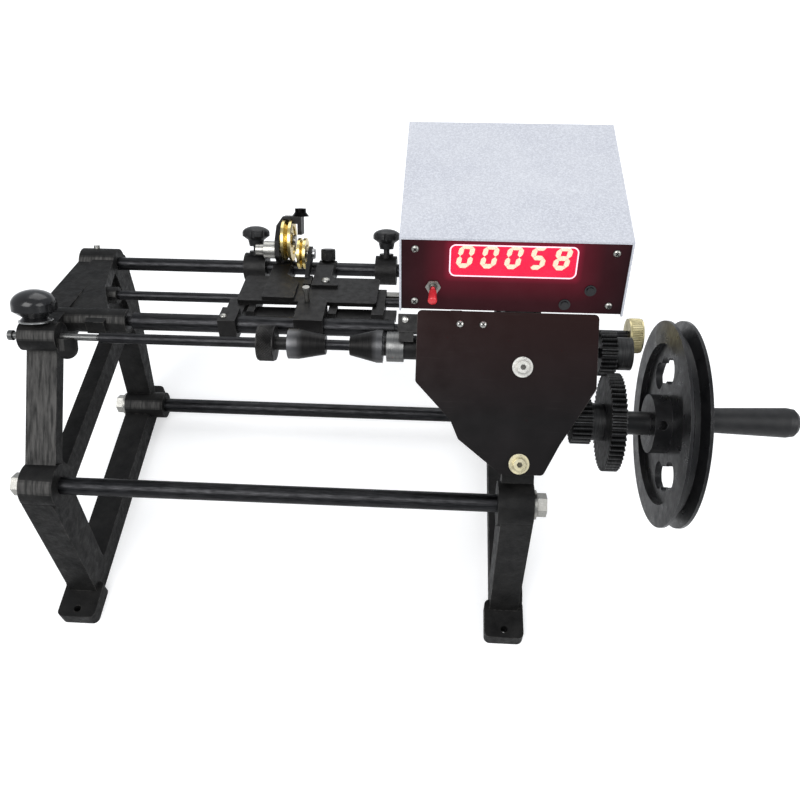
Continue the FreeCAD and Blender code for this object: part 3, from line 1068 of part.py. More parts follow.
def follower_box():
    right = "dim.box_left + dim.box_wide"
    outline = [
        ("dim.box_left", "dim.box_front"), (right, "dim.box_front"),
        (right, "dim.saddle_front - dim.box_chamfer"),
        (right + " - dim.box_chamfer", "dim.saddle_front"), ("dim.box_left", "dim.saddle_front"),
    ]
    box = plate("XY_Plane", outline, "dim.box_low", span("dim.box_low", "dim.box_high"))
    bore = rod(grown("dim.traverse_body"), "dim.box_left", "dim.box_wide", TRAVERSE_IN_GUIDE)
    sub_part("follower_box", cut(box, bore), GUIDE_FRAME)


def carriage_fork():
    """The arm at the carriage's left end that reaches down to the traverse shaft."""
    right = "dim.fork_left + dim.fork_wide"
    outline = [
        ("dim.fork_left", "dim.fork_front"), (right, "dim.fork_front"),
        (right, "dim.saddle_front - dim.saddle_bend"), ("dim.fork_foot_right", "dim.saddle_front"),
        ("dim.fork_foot_right", "-dim.lug_half - dim.free_gap"),
        ("dim.fork_left", "-dim.lug_half - dim.free_gap"),
    ]
    arm = plate("XY_Plane", outline, "dim.fork_low", span("dim.fork_low", "dim.saddle_low"))
    end = block(("dim.fork_left", "dim.fork_front", "dim.fork_low"),
                ("dim.fork_wide", "dim.fork_deep", span("dim.fork_low", "dim.fork_high")))
    bore = rod(grown("dim.traverse_body"), "dim.fork_left", "dim.fork_wide", TRAVERSE_IN_GUIDE)
    sub_part("carriage_fork", cut(join(arm, end), bore), GUIDE_FRAME)


def guide_arm():
    """The arch over the pulleys, clamped on the left rail block."""
    leg = plate("YZ_Plane", [
        ("-dim.arm_foot_half", "dim.arm_foot_low"), ("dim.arm_foot_half", "dim.arm_foot_low"),
        ("dim.arm_back", "dim.big_pulley_z"), ("dim.bridge_back", "dim.arm_shoulder"),
        ("dim.bridge_front", "dim.arm_shoulder"), ("dim.arm_front", "dim.big_pulley_z"),
        ("dim.arm_front", "dim.arm_foot_high"),
    ], "dim.arm_left", "dim.arm_thick", "dim.arm_thick")
    deep = span("dim.bridge_front", "dim.bridge_back")
    bridge_low = "dim.arm_top - dim.bridge_thick"
    bridge = block(("dim.arm_corner", "dim.bridge_front", bridge_low),
                   (span("dim.arm_corner", "dim.arm_right"), deep, "dim.bridge_thick"))
    leg_right = "dim.arm_left + dim.arm_thick"
    corner_low = "dim.arm_shoulder - dim.arm_thick / 2"
    corner = plate("XZ_Plane", [
        ("dim.arm_left", corner_low), (leg_right, corner_low), (leg_right, bridge_low),
        ("dim.arm_corner", bridge_low), ("dim.arm_corner", "dim.arm_top"),
        ("dim.arm_left", "dim.arm_shoulder"),
    ], "-dim.bridge_back", deep)
    far_leg = block(("dim.arm_right - dim.arm_thick", "dim.bridge_front", "dim.right_leg_low"),
                    ("dim.arm_thick", deep, span("dim.right_leg_low", "dim.arm_top")))
    foot = block(("dim.arm_left - dim.arm_thick / 2", "-dim.arm_foot_half", "dim.arm_foot_low"),
                 ("dim.arm_foot_wide", "2 * dim.arm_foot_half",
                  span("dim.arm_foot_low", "dim.arm_foot_high")))
    saddle = rod(grown("dim.block_boss", "dim.bed_gap"), "dim.arm_left - dim.arm_foot_wide",
                 "3 * dim.arm_foot_wide")
    axle = rod(grown("dim.axle_radius", "dim.bed_gap"), "dim.arm_left", "dim.arm_thick",
               ("dim.big_pulley_y", "dim.big_pulley_z"))
    screw = rod(grown("dim.tension_shank"), "dim.arm_left", "dim.arm_thick",
                ("dim.tension_y", "dim.tension_z"))
    relief = rod("dim.big_pulley_radius + 2 * dim.free_gap", "dim.big_pulley_left - dim.free_gap",
                 "dim.big_pulley_wide + 2 * dim.free_gap", ("dim.big_pulley_y", "dim.big_pulley_z"))
    arm = cut(join(leg, corner, bridge, far_leg, foot), saddle, axle, screw, relief)
    sub_part("guide_arm", arm, LEAN_FRAME)


def cap_screw():
    """The socket screw with a conical flange on top of the guide arm."""
    flange_top = "dim.arm_top + dim.cap_cone_high"
    cone = taper("dim.cap_flange", "dim.cap_head", "dim.arm_top", "dim.cap_cone_high",
                 "dim.cap_x", "dim.cap_y")
    head = post("dim.cap_head", flange_top, "dim.cap_head_high", "dim.cap_x", "dim.cap_y")
    socket = post("dim.cap_head / 2", flange_top, "dim.cap_head_high", "dim.cap_x", "dim.cap_y")
    return cut(join(cone, head), socket)


def pulley_bracket():
    y, z = lean_in_guide("dim.small_pulley_y", "dim.small_pulley_z")
    strap = plate("YZ_Plane", [
        ("dim.bracket_foot_front", SADDLE_TOP), ("dim.bracket_foot_back", SADDLE_TOP),
        ("%s + dim.bracket_end" % y, "%s - dim.bracket_end" % z),
        ("%s + dim.bracket_end" % y, "%s + dim.bracket_end" % z),
        ("%s - dim.bracket_end" % y, "%s + dim.bracket_end" % z),
    ], "dim.bracket_left", "dim.bracket_thick", "dim.bracket_end / 2")
    foot = block(("dim.bracket_left", "dim.bracket_foot_front", SADDLE_TOP),
                 ("dim.bracket_foot_wide", span("dim.bracket_foot_front",
                  "dim.bracket_foot_back"), "dim.bracket_foot_thick"))
    hole = rod(grown("dim.axle_radius", "dim.bed_gap"), "dim.bracket_left", "dim.bracket_thick",
               (y, z))
    sub_part("pulley_bracket", cut(join(strap, foot), hole), GUIDE_FRAME)


def pulley(name, left, wide, radius, centre):
    """A brass pulley with a V groove, a hub and dished faces."""
    bore = grown("dim.axle_radius")
    right = "%s + %s" % (left, wide)
    middle = "%s + %s / 2" % (left, wide)
    rim = "%s - dim.vee_depth - dim.pulley_edge" % radius
    wheel = turned([
        (left, bore), (left, "dim.pulley_hub"), (left + " + dim.pulley_dish", "dim.pulley_hub"),
        (left + " + dim.pulley_dish", rim), (left, rim), (left, radius),
        (left + " + dim.pulley_edge", radius), (middle, "%s - dim.vee_depth" % radius),
        (right + " - dim.pulley_edge", radius), (right, radius), (right, rim),
        (right + " - dim.pulley_dish", rim), (right + " - dim.pulley_dish", "dim.pulley_hub"),
        (right, "dim.pulley_hub"), (right, bore),
    ])
    y, z = centre
    holder = cut(put(wheel, ("0", y, z)), rod(bore, left, wide, centre))
    sub_part(name, holder, LEAN_FRAME)


def pulleys():
    large = ("dim.big_pulley_y", "dim.big_pulley_z")
    small = ("dim.small_pulley_y", "dim.small_pulley_z")
    pulley("large_pulley", "dim.big_pulley_left", "dim.big_pulley_wide", "dim.big_pulley_radius",
           large)
    pulley("small_pulley", "dim.small_pulley_left", "dim.small_pulley_wide",
           "dim.small_pulley_radius", small)
    right = "dim.big_pulley_left + dim.big_pulley_wide + dim.free_gap"
    first = join(
        rod("dim.axle_radius", "dim.arm_left", span("dim.arm_left", right), large),
        rod("dim.axle_head", right, "dim.axle_head_thick", large),
        rod("dim.axle_head", "dim.arm_left + dim.arm_thick",
            span("dim.arm_left + dim.arm_thick", "dim.big_pulley_left - dim.free_gap"), large))
    head_left = "dim.small_pulley_left - dim.free_gap - dim.axle_head_thick"
    pulley_right = "dim.small_pulley_left + dim.small_pulley_wide + dim.free_gap"
    end = "dim.bracket_left + dim.bracket_thick"
    second = join(
        rod("dim.axle_radius", head_left, span(head_left, end), small),
        rod("dim.axle_head", head_left, "dim.axle_head_thick", small),
        rod("dim.axle_head", pulley_right, span(pulley_right, "dim.bracket_left"), small),
        rod("dim.axle_head", end, "dim.axle_head_thick", small))
    sub_part("arm_screws", group(first, second, cap_screw()), LEAN_FRAME)


def carriage_screws():
    """Screws on the carriage: the right tongue, the fork, the box and the hex adjuster."""
    top = SADDLE_TOP + " + dim.tongue_thick"
    screws = [dome("dim.tongue_screw", "dim.tongue_screw_high", top, False,
                   ("dim.right_block_left + 3 * dim.block_wide / 4", "dim.tongue_screw_y"))]
    screws.append(dome("dim.small_head", "dim.small_head_high", "dim.fork_high", False,
                       ("dim.fork_left + dim.fork_wide / 4", "dim.fork_front + dim.fork_wide / 2")))
    stud = post("dim.stud_radius", "dim.box_high", "dim.stud_high", "dim.stud_x", "dim.stud_y")
    stud_top = "dim.box_high + dim.stud_high"
    cap = post("dim.small_head", stud_top, "dim.small_head_high", "dim.stud_x", "dim.stud_y")
    screws.append(join(stud, cap))
    shank_left = "dim.right_lug_left + dim.over"
    shank = rod("dim.stud_radius", shank_left, span(shank_left, "dim.hex_left"), HEX_CENTRE)
    screws.append(join(shank, hexagon("dim.hex_radius", "dim.hex_left", "dim.hex_length",
                                      HEX_CENTRE)))
    sub_part("carriage_screws", group(*screws), GUIDE_FRAME)


def carriage_knobs():
    stem_low = "dim.rail_radius + dim.run_gap"
    head_low = "dim.block_boss + dim.free_gap"
    thumb = join(post("dim.thumb_stem", stem_low, span(stem_low, head_low)),
                 post("dim.thumb_radius", head_low, "dim.thumb_high"))
    sub_part("block_thumbscrew", thumb, LEAN_FRAME, "dim.right_block_left + dim.block_wide / 2")
    inner = "dim.arm_left - dim.free_gap"
    tip = "dim.big_pulley_left - dim.free_gap * 2"
    centre = ("dim.tension_y", "dim.tension_z")
    tension = join(
        rod("dim.tension_small", "dim.tension_left", span("dim.tension_left", "dim.tension_step"),
            centre),
        rod("dim.tension_big", "dim.tension_step", span("dim.tension_step", inner), centre),
        rod("dim.tension_shank", inner, span(inner, tip), centre))
    sub_part("tension_screw", tension, LEAN_FRAME)


def carriage_stops():
    for side, left, wide in (("left", "dim.left_stop_left", "dim.left_stop_wide"),
                             ("right", "dim.right_stop_left", "dim.right_stop_wide")):
        middle = "%s + %s / 2" % (left, wide)
        ring = join(rod("dim.stop_radius", "-%s / 2" % wide, wide),
                    post("dim.stop_boss", "0", "dim.stop_boss_high"))
        stop = cut(ring, rod(grown("dim.rail_radius"), "-%s / 2" % wide, wide),
                   post(grown("dim.star_stem"), "0", "dim.stop_boss_high"))
        sub_part(side + "_stop", stop, LEAN_FRAME, middle)
        stem_low = "dim.rail_radius + dim.run_gap"
        flare_low = "dim.star_neck_low + dim.star_neck_high"
        rim_low = flare_low + " + dim.star_flare_high"
        dome_low = rim_low + " + dim.star_rim"
        notches = []
        for point in range(size_count("star_points")):
            turn = "(360 * %d / dim.star_points)" % point
            notches.append(post("dim.star_notch", flare_low,
                                span(flare_low, dome_low + " + dim.star_dome"),
                                "dim.star_radius * cos(%s)" % turn,
                                "dim.star_radius * sin(%s)" % turn))
        flare = taper("dim.star_neck_top", "dim.star_radius", flare_low, "dim.star_flare_high")
        head = cut(join(flare, post("dim.star_radius", rim_low, "dim.star_rim"),
                        dome("dim.star_radius", "dim.star_dome", dome_low)), *notches)
        neck = taper("dim.star_neck", "dim.star_neck_top", "dim.star_neck_low",
                     "dim.star_neck_high")
        stem = post("dim.star_stem", stem_low, span(stem_low, "dim.star_neck_low"))
        sub_part(side + "_stop_knob", join(stem, neck, head), LEAN_FRAME, middle)


def size_count(alias):
    """A whole number from the sheet."""
    return int(size(alias))


# ---------------------------------------------------------------- counter box

BOX_LEFT = "(dim.counter_x - dim.counter_wide / 2)"
BOX_TOP = "(dim.counter_low + dim.counter_high)"
INNER_WIDE = "(dim.counter_wide - 2 * dim.sheet_wall)"


def counter_cover():
    outer = plate("YZ_Plane", [
        ("dim.counter_front", "dim.counter_low"),
        ("dim.counter_front + dim.counter_lean", BOX_TOP),
        ("dim.counter_back", BOX_TOP), ("dim.counter_back", "dim.counter_low"),
    ], BOX_LEFT, "dim.counter_wide")
    inner = plate("YZ_Plane", [
        ("dim.counter_front - dim.over * dim.counter_lean / dim.counter_high - dim.over",
         "dim.counter_low - dim.over"),
        ("dim.counter_front + dim.counter_lean - dim.over", BOX_TOP + " - dim.sheet_wall"),
        ("dim.counter_back - dim.sheet_wall", BOX_TOP + " - dim.sheet_wall"),
        ("dim.counter_back - dim.sheet_wall", "dim.counter_low - dim.over"),
    ], BOX_LEFT + " + dim.sheet_wall", INNER_WIDE)
    holes = [rod(grown("dim.small_screw"), "dim.counter_x - dim.counter_wide", "2 * dim.counter_wide",
                 place) for place in cover_screw_places()]
    back = "dim.counter_back - dim.sheet_wall * 2"
    inlet = spoke(grown("dim.inlet_radius"), "0", "4 * dim.sheet_wall",
                  "dim.counter_x + dim.inlet_x", (back, "dim.counter_low + dim.inlet_z"), "90", -1)
    sub_part("counter_cover", cut(outer, inner, inlet, *holes))


def cover_screw_places():
    """World Y and Z of the screws through each side of the cover."""
    z = "dim.counter_low + dim.sheet_wall + dim.base_flange / 2"
    return [("dim.cover_screw_y + %d * dim.cover_screw_pitch" % step, z) for step in (0, 1)]


def counter_base():
    """The bottom tray, its side flanges and the tabs behind the panel's screws."""
    left = BOX_LEFT + " + dim.sheet_wall + dim.run_gap"
    wide = INNER_WIDE + " - 2 * dim.run_gap"
    front = ("dim.counter_front + dim.sheet_wall * dim.counter_lean / dim.counter_high"
             " + (dim.panel_sunk + dim.panel_thick) * %s / dim.counter_high"
             " + dim.run_gap" % PANEL_SLANT)
    deep = span(front, "dim.counter_back - dim.sheet_wall - dim.run_gap")
    floor = block((left, front, "dim.counter_low"), (wide, deep, "dim.sheet_wall"))
    flange_front = "dim.counter_front + dim.counter_lean"
    reach = span(flange_front, "dim.counter_back - dim.sheet_wall - dim.run_gap")
    pieces = [floor]
    right = "%s + %s - dim.sheet_wall" % (left, wide)
    for x in (left, right):
        pieces.append(block((x, flange_front, "dim.counter_low"),
                            ("dim.sheet_wall", reach, "dim.base_flange + dim.sheet_wall")))
    holes = [rod(grown("dim.small_screw"), "dim.counter_x - dim.counter_wide", "2 * dim.counter_wide",
                 place) for place in cover_screw_places()]
    holes += [post(grown("dim.bracket_bolt"), "dim.counter_low", "dim.sheet_wall", x, y)
              for x, y in flange_places()]
    sub_part("counter_base", cut(join(*pieces), *holes))


PANEL_BACK = "-dim.panel_sunk - dim.panel_thick"
PANEL_FACE = "-dim.panel_sunk"


def panel_screw_places():
    return [("%d * dim.panel_screw_x" % side, y) for side in (-1, 1)
            for y in ("dim.panel_screw_low", "dim.panel_screw_high")]


def front_panel():
    half = "(%s / 2 - dim.run_gap)" % INNER_WIDE
    low = "(dim.sheet_wall + dim.run_gap) * %s / dim.counter_high" % PANEL_SLANT
    high = "(dim.counter_high - dim.sheet_wall - dim.run_gap) * %s / dim.counter_high" % PANEL_SLANT
    outline = [("-" + half, low), (half, low), (half, high), ("-" + half, high)]
    holes = [(place, grown("dim.small_screw")) for place in panel_screw_places()]
    holes.append((("dim.toggle_x", "dim.toggle_y"), grown("dim.bushing_radius")))
    for x, y in button_places():
        holes.append(((x, y), grown("dim.button_barrel")))
    sheet = plate("XY_Plane", outline, PANEL_BACK, "dim.panel_thick", None, holes)
    window = window_blank("0", PANEL_BACK, "dim.panel_thick", "dim.window_bend")
    sub_part("front_panel", cut(sheet, window), PANEL_FRAME, "dim.counter_x")
    glass = window_blank("dim.run_gap", PANEL_BACK, "dim.panel_thick",
                         "dim.window_bend - dim.run_gap")
    sub_part("display_window", glass, PANEL_FRAME, "dim.counter_x")


def window_blank(gap, low, thick, bend):
    """The rounded display window, smaller all round by a gap."""
    left = "dim.window_x - dim.window_wide / 2 + " + gap
    right = "dim.window_x + dim.window_wide / 2 - " + gap
    bottom = "dim.window_y - dim.window_high / 2 + " + gap
    top = "dim.window_y + dim.window_high / 2 - " + gap
    outline = [(left, bottom), (right, bottom), (right, top), (left, top)]
    return plate("XY_Plane", outline, low, thick, bend)


def display_module():
    """Five digit blocks on a board, close behind the window."""
    front = "%s - dim.digit_back" % PANEL_BACK
    back = front + " - dim.digit_deep"
    digits = []
    for index in range(size_count("digit_count")):
        middle = "dim.window_x + (%d - (dim.digit_count - 1) / 2) * dim.digit_pitch" % index
        digits.append(block((middle + " - dim.digit_wide / 2", "dim.digit_y - dim.digit_high / 2",
                             back), ("dim.digit_wide", "dim.digit_high", "dim.digit_deep")))
    board = block(("dim.window_x - dim.display_board_wide / 2",
                   "dim.digit_y - dim.display_board_high / 2", back + " - dim.display_board"),
                  ("dim.display_board_wide", "dim.display_board_high", "dim.display_board"))
    spacers = []
    for side in (-1, 1):
        x = "dim.window_x + %d * (dim.display_board_wide / 2 - dim.spacer_radius / 2)" % side
        reach = "dim.digit_deep + dim.digit_back"
        spacers.append(post("dim.spacer_radius / 2", back, reach, x,
                            "dim.digit_y - dim.display_board_high / 2 + dim.spacer_radius"))
    sub_part("display_module", group(board, *digits, *spacers), PANEL_FRAME, "dim.counter_x")


def circuit_board():
    """The counter's board on four spacers, with a chip and a small transformer on it."""
    floor = "dim.counter_low + dim.sheet_wall"
    left = "dim.counter_x + dim.board_x - dim.board_wide / 2"
    front = "dim.board_y - dim.board_deep / 2"
    low = floor + " + dim.spacer_high"
    top = low + " + dim.board_thick"
    pieces = [block((left, front, low), ("dim.board_wide", "dim.board_deep", "dim.board_thick"))]
    for x in ("dim.spacer_inset", "dim.board_wide - dim.spacer_inset"):
        for y in ("dim.spacer_inset", "dim.board_deep - dim.spacer_inset"):
            pieces.append(post("dim.spacer_radius", floor, "dim.spacer_high",
                               "%s + %s" % (left, x), "%s + %s" % (front, y)))
    pieces.append(block((left + " + dim.chip_deep", front + " + dim.chip_deep", top),
                        ("dim.chip_wide", "dim.chip_deep", "dim.chip_high")))
    pieces.append(block((left + " + dim.board_wide - dim.coil_wide - dim.spacer_inset",
                         front + " + dim.board_deep - dim.coil_deep - dim.spacer_inset", top),
                        ("dim.coil_wide", "dim.coil_deep", "dim.coil_high")))
    sub_part("circuit_board", group(*pieces))


def counter_screws():
    screws = []
    for x, y in panel_screw_places():
        screws.append(small_screw(x, y, PANEL_FACE, "dim.panel_thick + dim.nut_thick"))
    for x, y in panel_screw_places():
        nut = hexagon("dim.small_head", "%s - dim.nut_thick" % PANEL_BACK, "dim.nut_thick", (x, y),
                      False)
        bore = post(grown("dim.small_screw", "dim.bed_gap"), "%s - dim.nut_thick" % PANEL_BACK,
                    "dim.nut_thick", x, y)
        screws.append(cut(nut, bore))
    sub_part("panel_screws", group(*screws), PANEL_FRAME, "dim.counter_x")
    side_screws = []
    for side in (-1, 1):
        for place in cover_screw_places():
            face = "dim.counter_x + %d * dim.counter_wide / 2" % side
            grip = "dim.sheet_wall * 2 + dim.small_head_high"
            low = face if side < 0 else "%s - (%s)" % (face, grip)
            shank = rod("dim.small_screw", low, grip, place)
            low = "%s - dim.small_head_high / 2" % face if side < 0 else face
            head = rod("dim.small_head", low, "dim.small_head_high / 2", place)
            side_screws.append(join(shank, head))
    sub_part("cover_screws", group(*side_screws))


def power_inlet():
    """A round power socket in the cover's back wall, open to the rear."""
    place = ("dim.counter_back - dim.inlet_deep + dim.small_head_high",
             "dim.counter_low + dim.inlet_z")
    x = "dim.counter_x + dim.inlet_x"
    barrel = spoke("dim.inlet_radius", "0", "dim.inlet_deep", x, place, "90", -1)
    flange = spoke("dim.inlet_flange", "0", "dim.small_head_high", x,
                   ("dim.counter_back", place[1]), "90", -1)
    bore = spoke("dim.inlet_bore", "0", "dim.inlet_bore_deep", x,
                 ("dim.counter_back + dim.small_head_high - dim.inlet_bore_deep", place[1]), "90", -1)
    sub_part("power_inlet", cut(join(barrel, flange), bore))


def toggle():
    centre = ("dim.toggle_x", "dim.toggle_y")
    body_top = PANEL_BACK
    body = block(("dim.toggle_x - dim.switch_wide / 2", "dim.toggle_y - dim.switch_high / 2",
                  "%s - dim.switch_deep" % body_top),
                 ("dim.switch_wide", "dim.switch_high", "dim.switch_deep"))
    bushing = post("dim.bushing_radius", body_top, span(body_top, "dim.bushing_high"), *centre)
    bore = post("dim.bushing_bore", "-dim.panel_sunk", "dim.bushing_high + dim.panel_sunk", *centre)
    nut = hexagon("dim.toggle_nut", PANEL_FACE, "dim.toggle_nut_high", centre, False)
    hole = post(grown("dim.bushing_radius", "dim.bed_gap"), PANEL_FACE, "dim.toggle_nut_high",
                *centre)
    switch = group(cut(join(body, bushing), bore), cut(nut, hole))
    sub_part("toggle_switch", switch, PANEL_FRAME, "dim.counter_x")
    ball = document.addObject("Part::Sphere", "Ball")
    ball.setExpression("Radius", "dim.bushing_bore - dim.run_gap")
    neck_end = "dim.lever_neck + dim.bushing_high - dim.lever_pivot"
    neck = post("dim.lever_root", "0", neck_end)
    sleeve = taper("dim.sleeve_root", "dim.sleeve_radius", neck_end, "dim.sleeve_length")
    tip = dome("dim.sleeve_radius", "dim.sleeve_radius / 2", neck_end + " + dim.sleeve_length")
    lever = join(ball, neck, sleeve, tip)
    put(lever, ("dim.toggle_x", "dim.toggle_y", "dim.lever_pivot"), "dim.lever_tilt", 1)
    holder = group(lever)
    sub_part("toggle_lever", holder, PANEL_FRAME, "dim.counter_x")


def button_places():
    return [("dim.reset_x", "dim.reset_y"), ("dim.pause_x", "dim.pause_y")]


def buttons():
    bodies = []
    for name, (x, y) in zip(("reset_button", "pause_button"), button_places()):
        deep_low = "%s - dim.button_deep" % PANEL_BACK
        barrel = post("dim.button_barrel", deep_low, span(deep_low, "0"), x, y)
        flange = post("dim.button_flange", PANEL_FACE, "dim.button_flange_high", x, y)
        seat = "%s - dim.button_seat" % PANEL_FACE
        bore = post(grown("dim.button_radius"), seat,
                    "dim.button_seat + dim.button_flange_high + dim.over", x, y)
        bodies.append(cut(join(barrel, flange), bore))
        low = seat + " + dim.button_high"
        top = "%s + dim.button_flange_high + dim.button_high / 2" % PANEL_FACE
        cap = post("dim.button_radius", low, span(low, top), x, y)
        sub_part(name, group(cap), PANEL_FRAME, "dim.counter_x")
    sub_part("button_bodies", group(*bodies), PANEL_FRAME, "dim.counter_x")


# ---------------------------------------------------------------- the whole machine

def build():
    frame_casting(-1)
    frame_casting(1)
    for make in (tie_rods, tie_bolts, rails, shaft_bushes, frame_screws, box_bracket,
                 headstock_plate, plate_bolts, turn_sensor, spindle, left_clamp, tailstock,
                 crank, handwheel, handle, traverse, saddle_plate, rail_blocks, follower_box,
                 carriage_fork, guide_arm, pulley_bracket, pulleys, carriage_screws,
                 carriage_knobs, carriage_stops, counter_cover, counter_base, front_panel,
                 display_module, circuit_board, counter_screws, power_inlet, toggle, buttons):
        make()
    document.recompute()


def check():
    """Stop if any object failed or any sub-part has no sound shape."""
    for item in document.Objects:
        if "Invalid" in item.State or "Error" in item.State:
            raise RuntimeError("%s (%s): %s" % (item.Name, item.Label, item.getStatusString()))
    for name, item in sub_parts.items():
        if item.Shape.isNull() or not item.Shape.isValid() or not item.Shape.Solids:
            raise RuntimeError("%s has no sound shape" % name)


build()
check()
os.makedirs("parts", exist_ok=True)
for name, item in sub_parts.items():
    item.Shape.exportStep("parts/%s.step" % name)
    print(name, len(item.Shape.Solids), round(item.Shape.Volume))
print(len(sub_parts), "sub-parts")
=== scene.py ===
"""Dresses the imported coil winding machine: materials, the lit counter and the small details.

Metres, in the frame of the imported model: X right along the spindle, Y back, Z up.
"""
import bmesh
import bpy
import json
import math
from mathutils import Matrix, Vector


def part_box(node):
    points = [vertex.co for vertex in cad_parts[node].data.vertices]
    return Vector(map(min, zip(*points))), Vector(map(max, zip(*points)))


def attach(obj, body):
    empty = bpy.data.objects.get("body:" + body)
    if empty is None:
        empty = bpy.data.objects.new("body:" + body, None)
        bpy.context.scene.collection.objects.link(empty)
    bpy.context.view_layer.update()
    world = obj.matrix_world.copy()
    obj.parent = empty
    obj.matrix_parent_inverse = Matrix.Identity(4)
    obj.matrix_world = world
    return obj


MM = 0.001
X_AXIS = Vector((1, 0, 0))
Z_AXIS = Vector((0, 0, 1))
ORIGIN = Vector((0, 0, 0))

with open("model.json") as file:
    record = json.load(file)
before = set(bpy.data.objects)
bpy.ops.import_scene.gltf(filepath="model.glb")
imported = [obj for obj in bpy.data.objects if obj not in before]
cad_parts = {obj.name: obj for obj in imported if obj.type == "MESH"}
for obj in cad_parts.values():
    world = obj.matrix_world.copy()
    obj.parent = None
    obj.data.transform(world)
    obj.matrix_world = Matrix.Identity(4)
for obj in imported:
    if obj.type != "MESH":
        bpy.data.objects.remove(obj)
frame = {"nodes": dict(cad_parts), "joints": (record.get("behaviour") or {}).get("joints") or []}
nodes = frame["nodes"]
joints = {joint["name"]: joint for joint in frame["joints"]}
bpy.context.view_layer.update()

# the sloping posts of the end frames, which carry the headstock plate
SLOPE = math.radians(40)
POST_FACE = Vector((0, -math.sin(SLOPE), math.cos(SLOPE)))
SPINDLE_PLACE = Vector(joints["tail_knob_turn"]["pos_m"]).yz

# the front panel and the display window in it
PANEL_OUT = -Vector(joints["reset_press"]["axis"])
PANEL_UP = PANEL_OUT.cross(X_AXIS)
WINDOW_LOW, WINDOW_HIGH = (Vector(corner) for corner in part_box("display_window"))
WINDOW_CENTRE = (WINDOW_LOW + WINDOW_HIGH) / 2
WINDOW_THICK = 2.0
WINDOW_TRIM = 2  # taken off the height of the window's leaning box
WINDOW_WIDE = WINDOW_HIGH.x - WINDOW_LOW.x
WINDOW_TALL = (WINDOW_HIGH - WINDOW_LOW).dot(PANEL_UP) - WINDOW_TRIM * MM


def on_slope(x, along, out):
    """A point of the headstock plate's frame, which starts at the spindle, in millimetres."""
    rise = Vector((math.cos(SLOPE), math.sin(SLOPE))) * along * MM
    face = POST_FACE.yz * out * MM
    return Vector((x * MM, *(SPINDLE_PLACE + rise + face)))


def on_panel(across, up, out=0.0):
    """A point seen from the middle of the window's outer face, in millimetres."""
    face = WINDOW_CENTRE + PANEL_OUT * WINDOW_THICK / 2 * MM
    return face + X_AXIS * across * MM + PANEL_UP * up * MM + PANEL_OUT * out * MM


def basis(axis, place):
    """A matrix whose Z lies along an axis and whose origin is a place."""
    return Matrix.Translation(place) @ Vector(axis).to_track_quat("Z", "X").to_matrix().to_4x4()


# ---------------------------------------------------------------- camera, light and floor

CAMERA_PLACE = Vector((0.1433, -0.4425, 0.7625))
CAMERA_AIM = Vector((0.1047, 0.0150, 0.1695))
CAMERA_ROLL = math.radians(-1.86)
CAMERA_LENS = 35.56
CAMERA_SENSOR = 36
CAMERA_SHIFT = (0.0008, 0.0046)

# name, place, point that it is aimed at, size in metres and power in watts
LAMPS = (
    ("key", (-0.5, -1.1, 1.9), (0.05, 0, 0.2), 1.4, 28),
    ("fill", (1.5, -0.7, 1.3), (0.15, 0, 0.2), 1.2, 12),
    ("rear", (0.1, 1.5, 1.5), (0.1, 0, 0.2), 1.6, 14),
)
SKY_COLOUR = (0.9, 0.94, 1.0, 1)
SKY_STRENGTH = 0.55
BACKGROUND_COLOUR = (1, 1, 1, 1)
BACKGROUND_STRENGTH = 1.0
FLOOR_REACH = 6.0
FLOOR_COLOUR = (0.78, 0.78, 0.78, 1)
FLOOR_ROUGHNESS = 0.9
FLOOR_SPECULAR = 0.1
FLOOR_GLOW = (0.42, 0.42, 0.42, 1)


def make_camera():
    camera = bpy.data.objects.new("camera", bpy.data.cameras.new("camera"))
    bpy.context.collection.objects.link(camera)
    camera.data.sensor_width = CAMERA_SENSOR
    camera.data.lens = CAMERA_LENS
    camera.data.shift_x, camera.data.shift_y = CAMERA_SHIFT
    turn = (CAMERA_AIM - CAMERA_PLACE).to_track_quat("-Z", "Y").to_matrix().to_4x4()
    roll = Matrix.Rotation(CAMERA_ROLL, 4, "Z")
    camera.matrix_world = Matrix.Translation(CAMERA_PLACE) @ turn @ roll
    bpy.context.scene.camera = camera


def make_lamps():
    for name, place, aim, size, power in LAMPS:
        lamp = bpy.data.objects.new(name, bpy.data.lights.new(name, "AREA"))
        bpy.context.collection.objects.link(lamp)
        lamp.data.size = size
        lamp.data.energy = power
        lamp.location = place
        lamp.rotation_euler = (Vector(aim) - Vector(place)).to_track_quat("-Z", "Y").to_euler()


def seen_directly(tree):
    """1 for camera rays and rays through glass, and 0 for all others, mirror rays too."""
    path = tree.nodes.new("ShaderNodeLightPath")
    either = tree.nodes.new("ShaderNodeMath")
    either.operation = "MAXIMUM"
    tree.links.new(path.outputs["Is Camera Ray"], either.inputs[0])
    tree.links.new(path.outputs["Is Transmission Ray"], either.inputs[1])
    return either.outputs[0]


def make_world():
    """A pale sky that lights the object, and a white one where it is seen directly."""
    world = bpy.data.worlds.new("studio")
    bpy.context.scene.world = world
    world.use_nodes = True
    tree = world.node_tree
    tree.nodes.clear()
    light = tree.nodes.new("ShaderNodeBackground")
    light.inputs["Color"].default_value = SKY_COLOUR
    light.inputs["Strength"].default_value = SKY_STRENGTH
    seen = tree.nodes.new("ShaderNodeBackground")
    seen.inputs["Color"].default_value = BACKGROUND_COLOUR
    seen.inputs["Strength"].default_value = BACKGROUND_STRENGTH
    mix = tree.nodes.new("ShaderNodeMixShader")
    out = tree.nodes.new("ShaderNodeOutputWorld")
    tree.links.new(seen_directly(tree), mix.inputs[0])
    tree.links.new(light.outputs[0], mix.inputs[1])
    tree.links.new(seen.outputs[0], mix.inputs[2])
    tree.links.new(mix.outputs[0], out.inputs["Surface"])


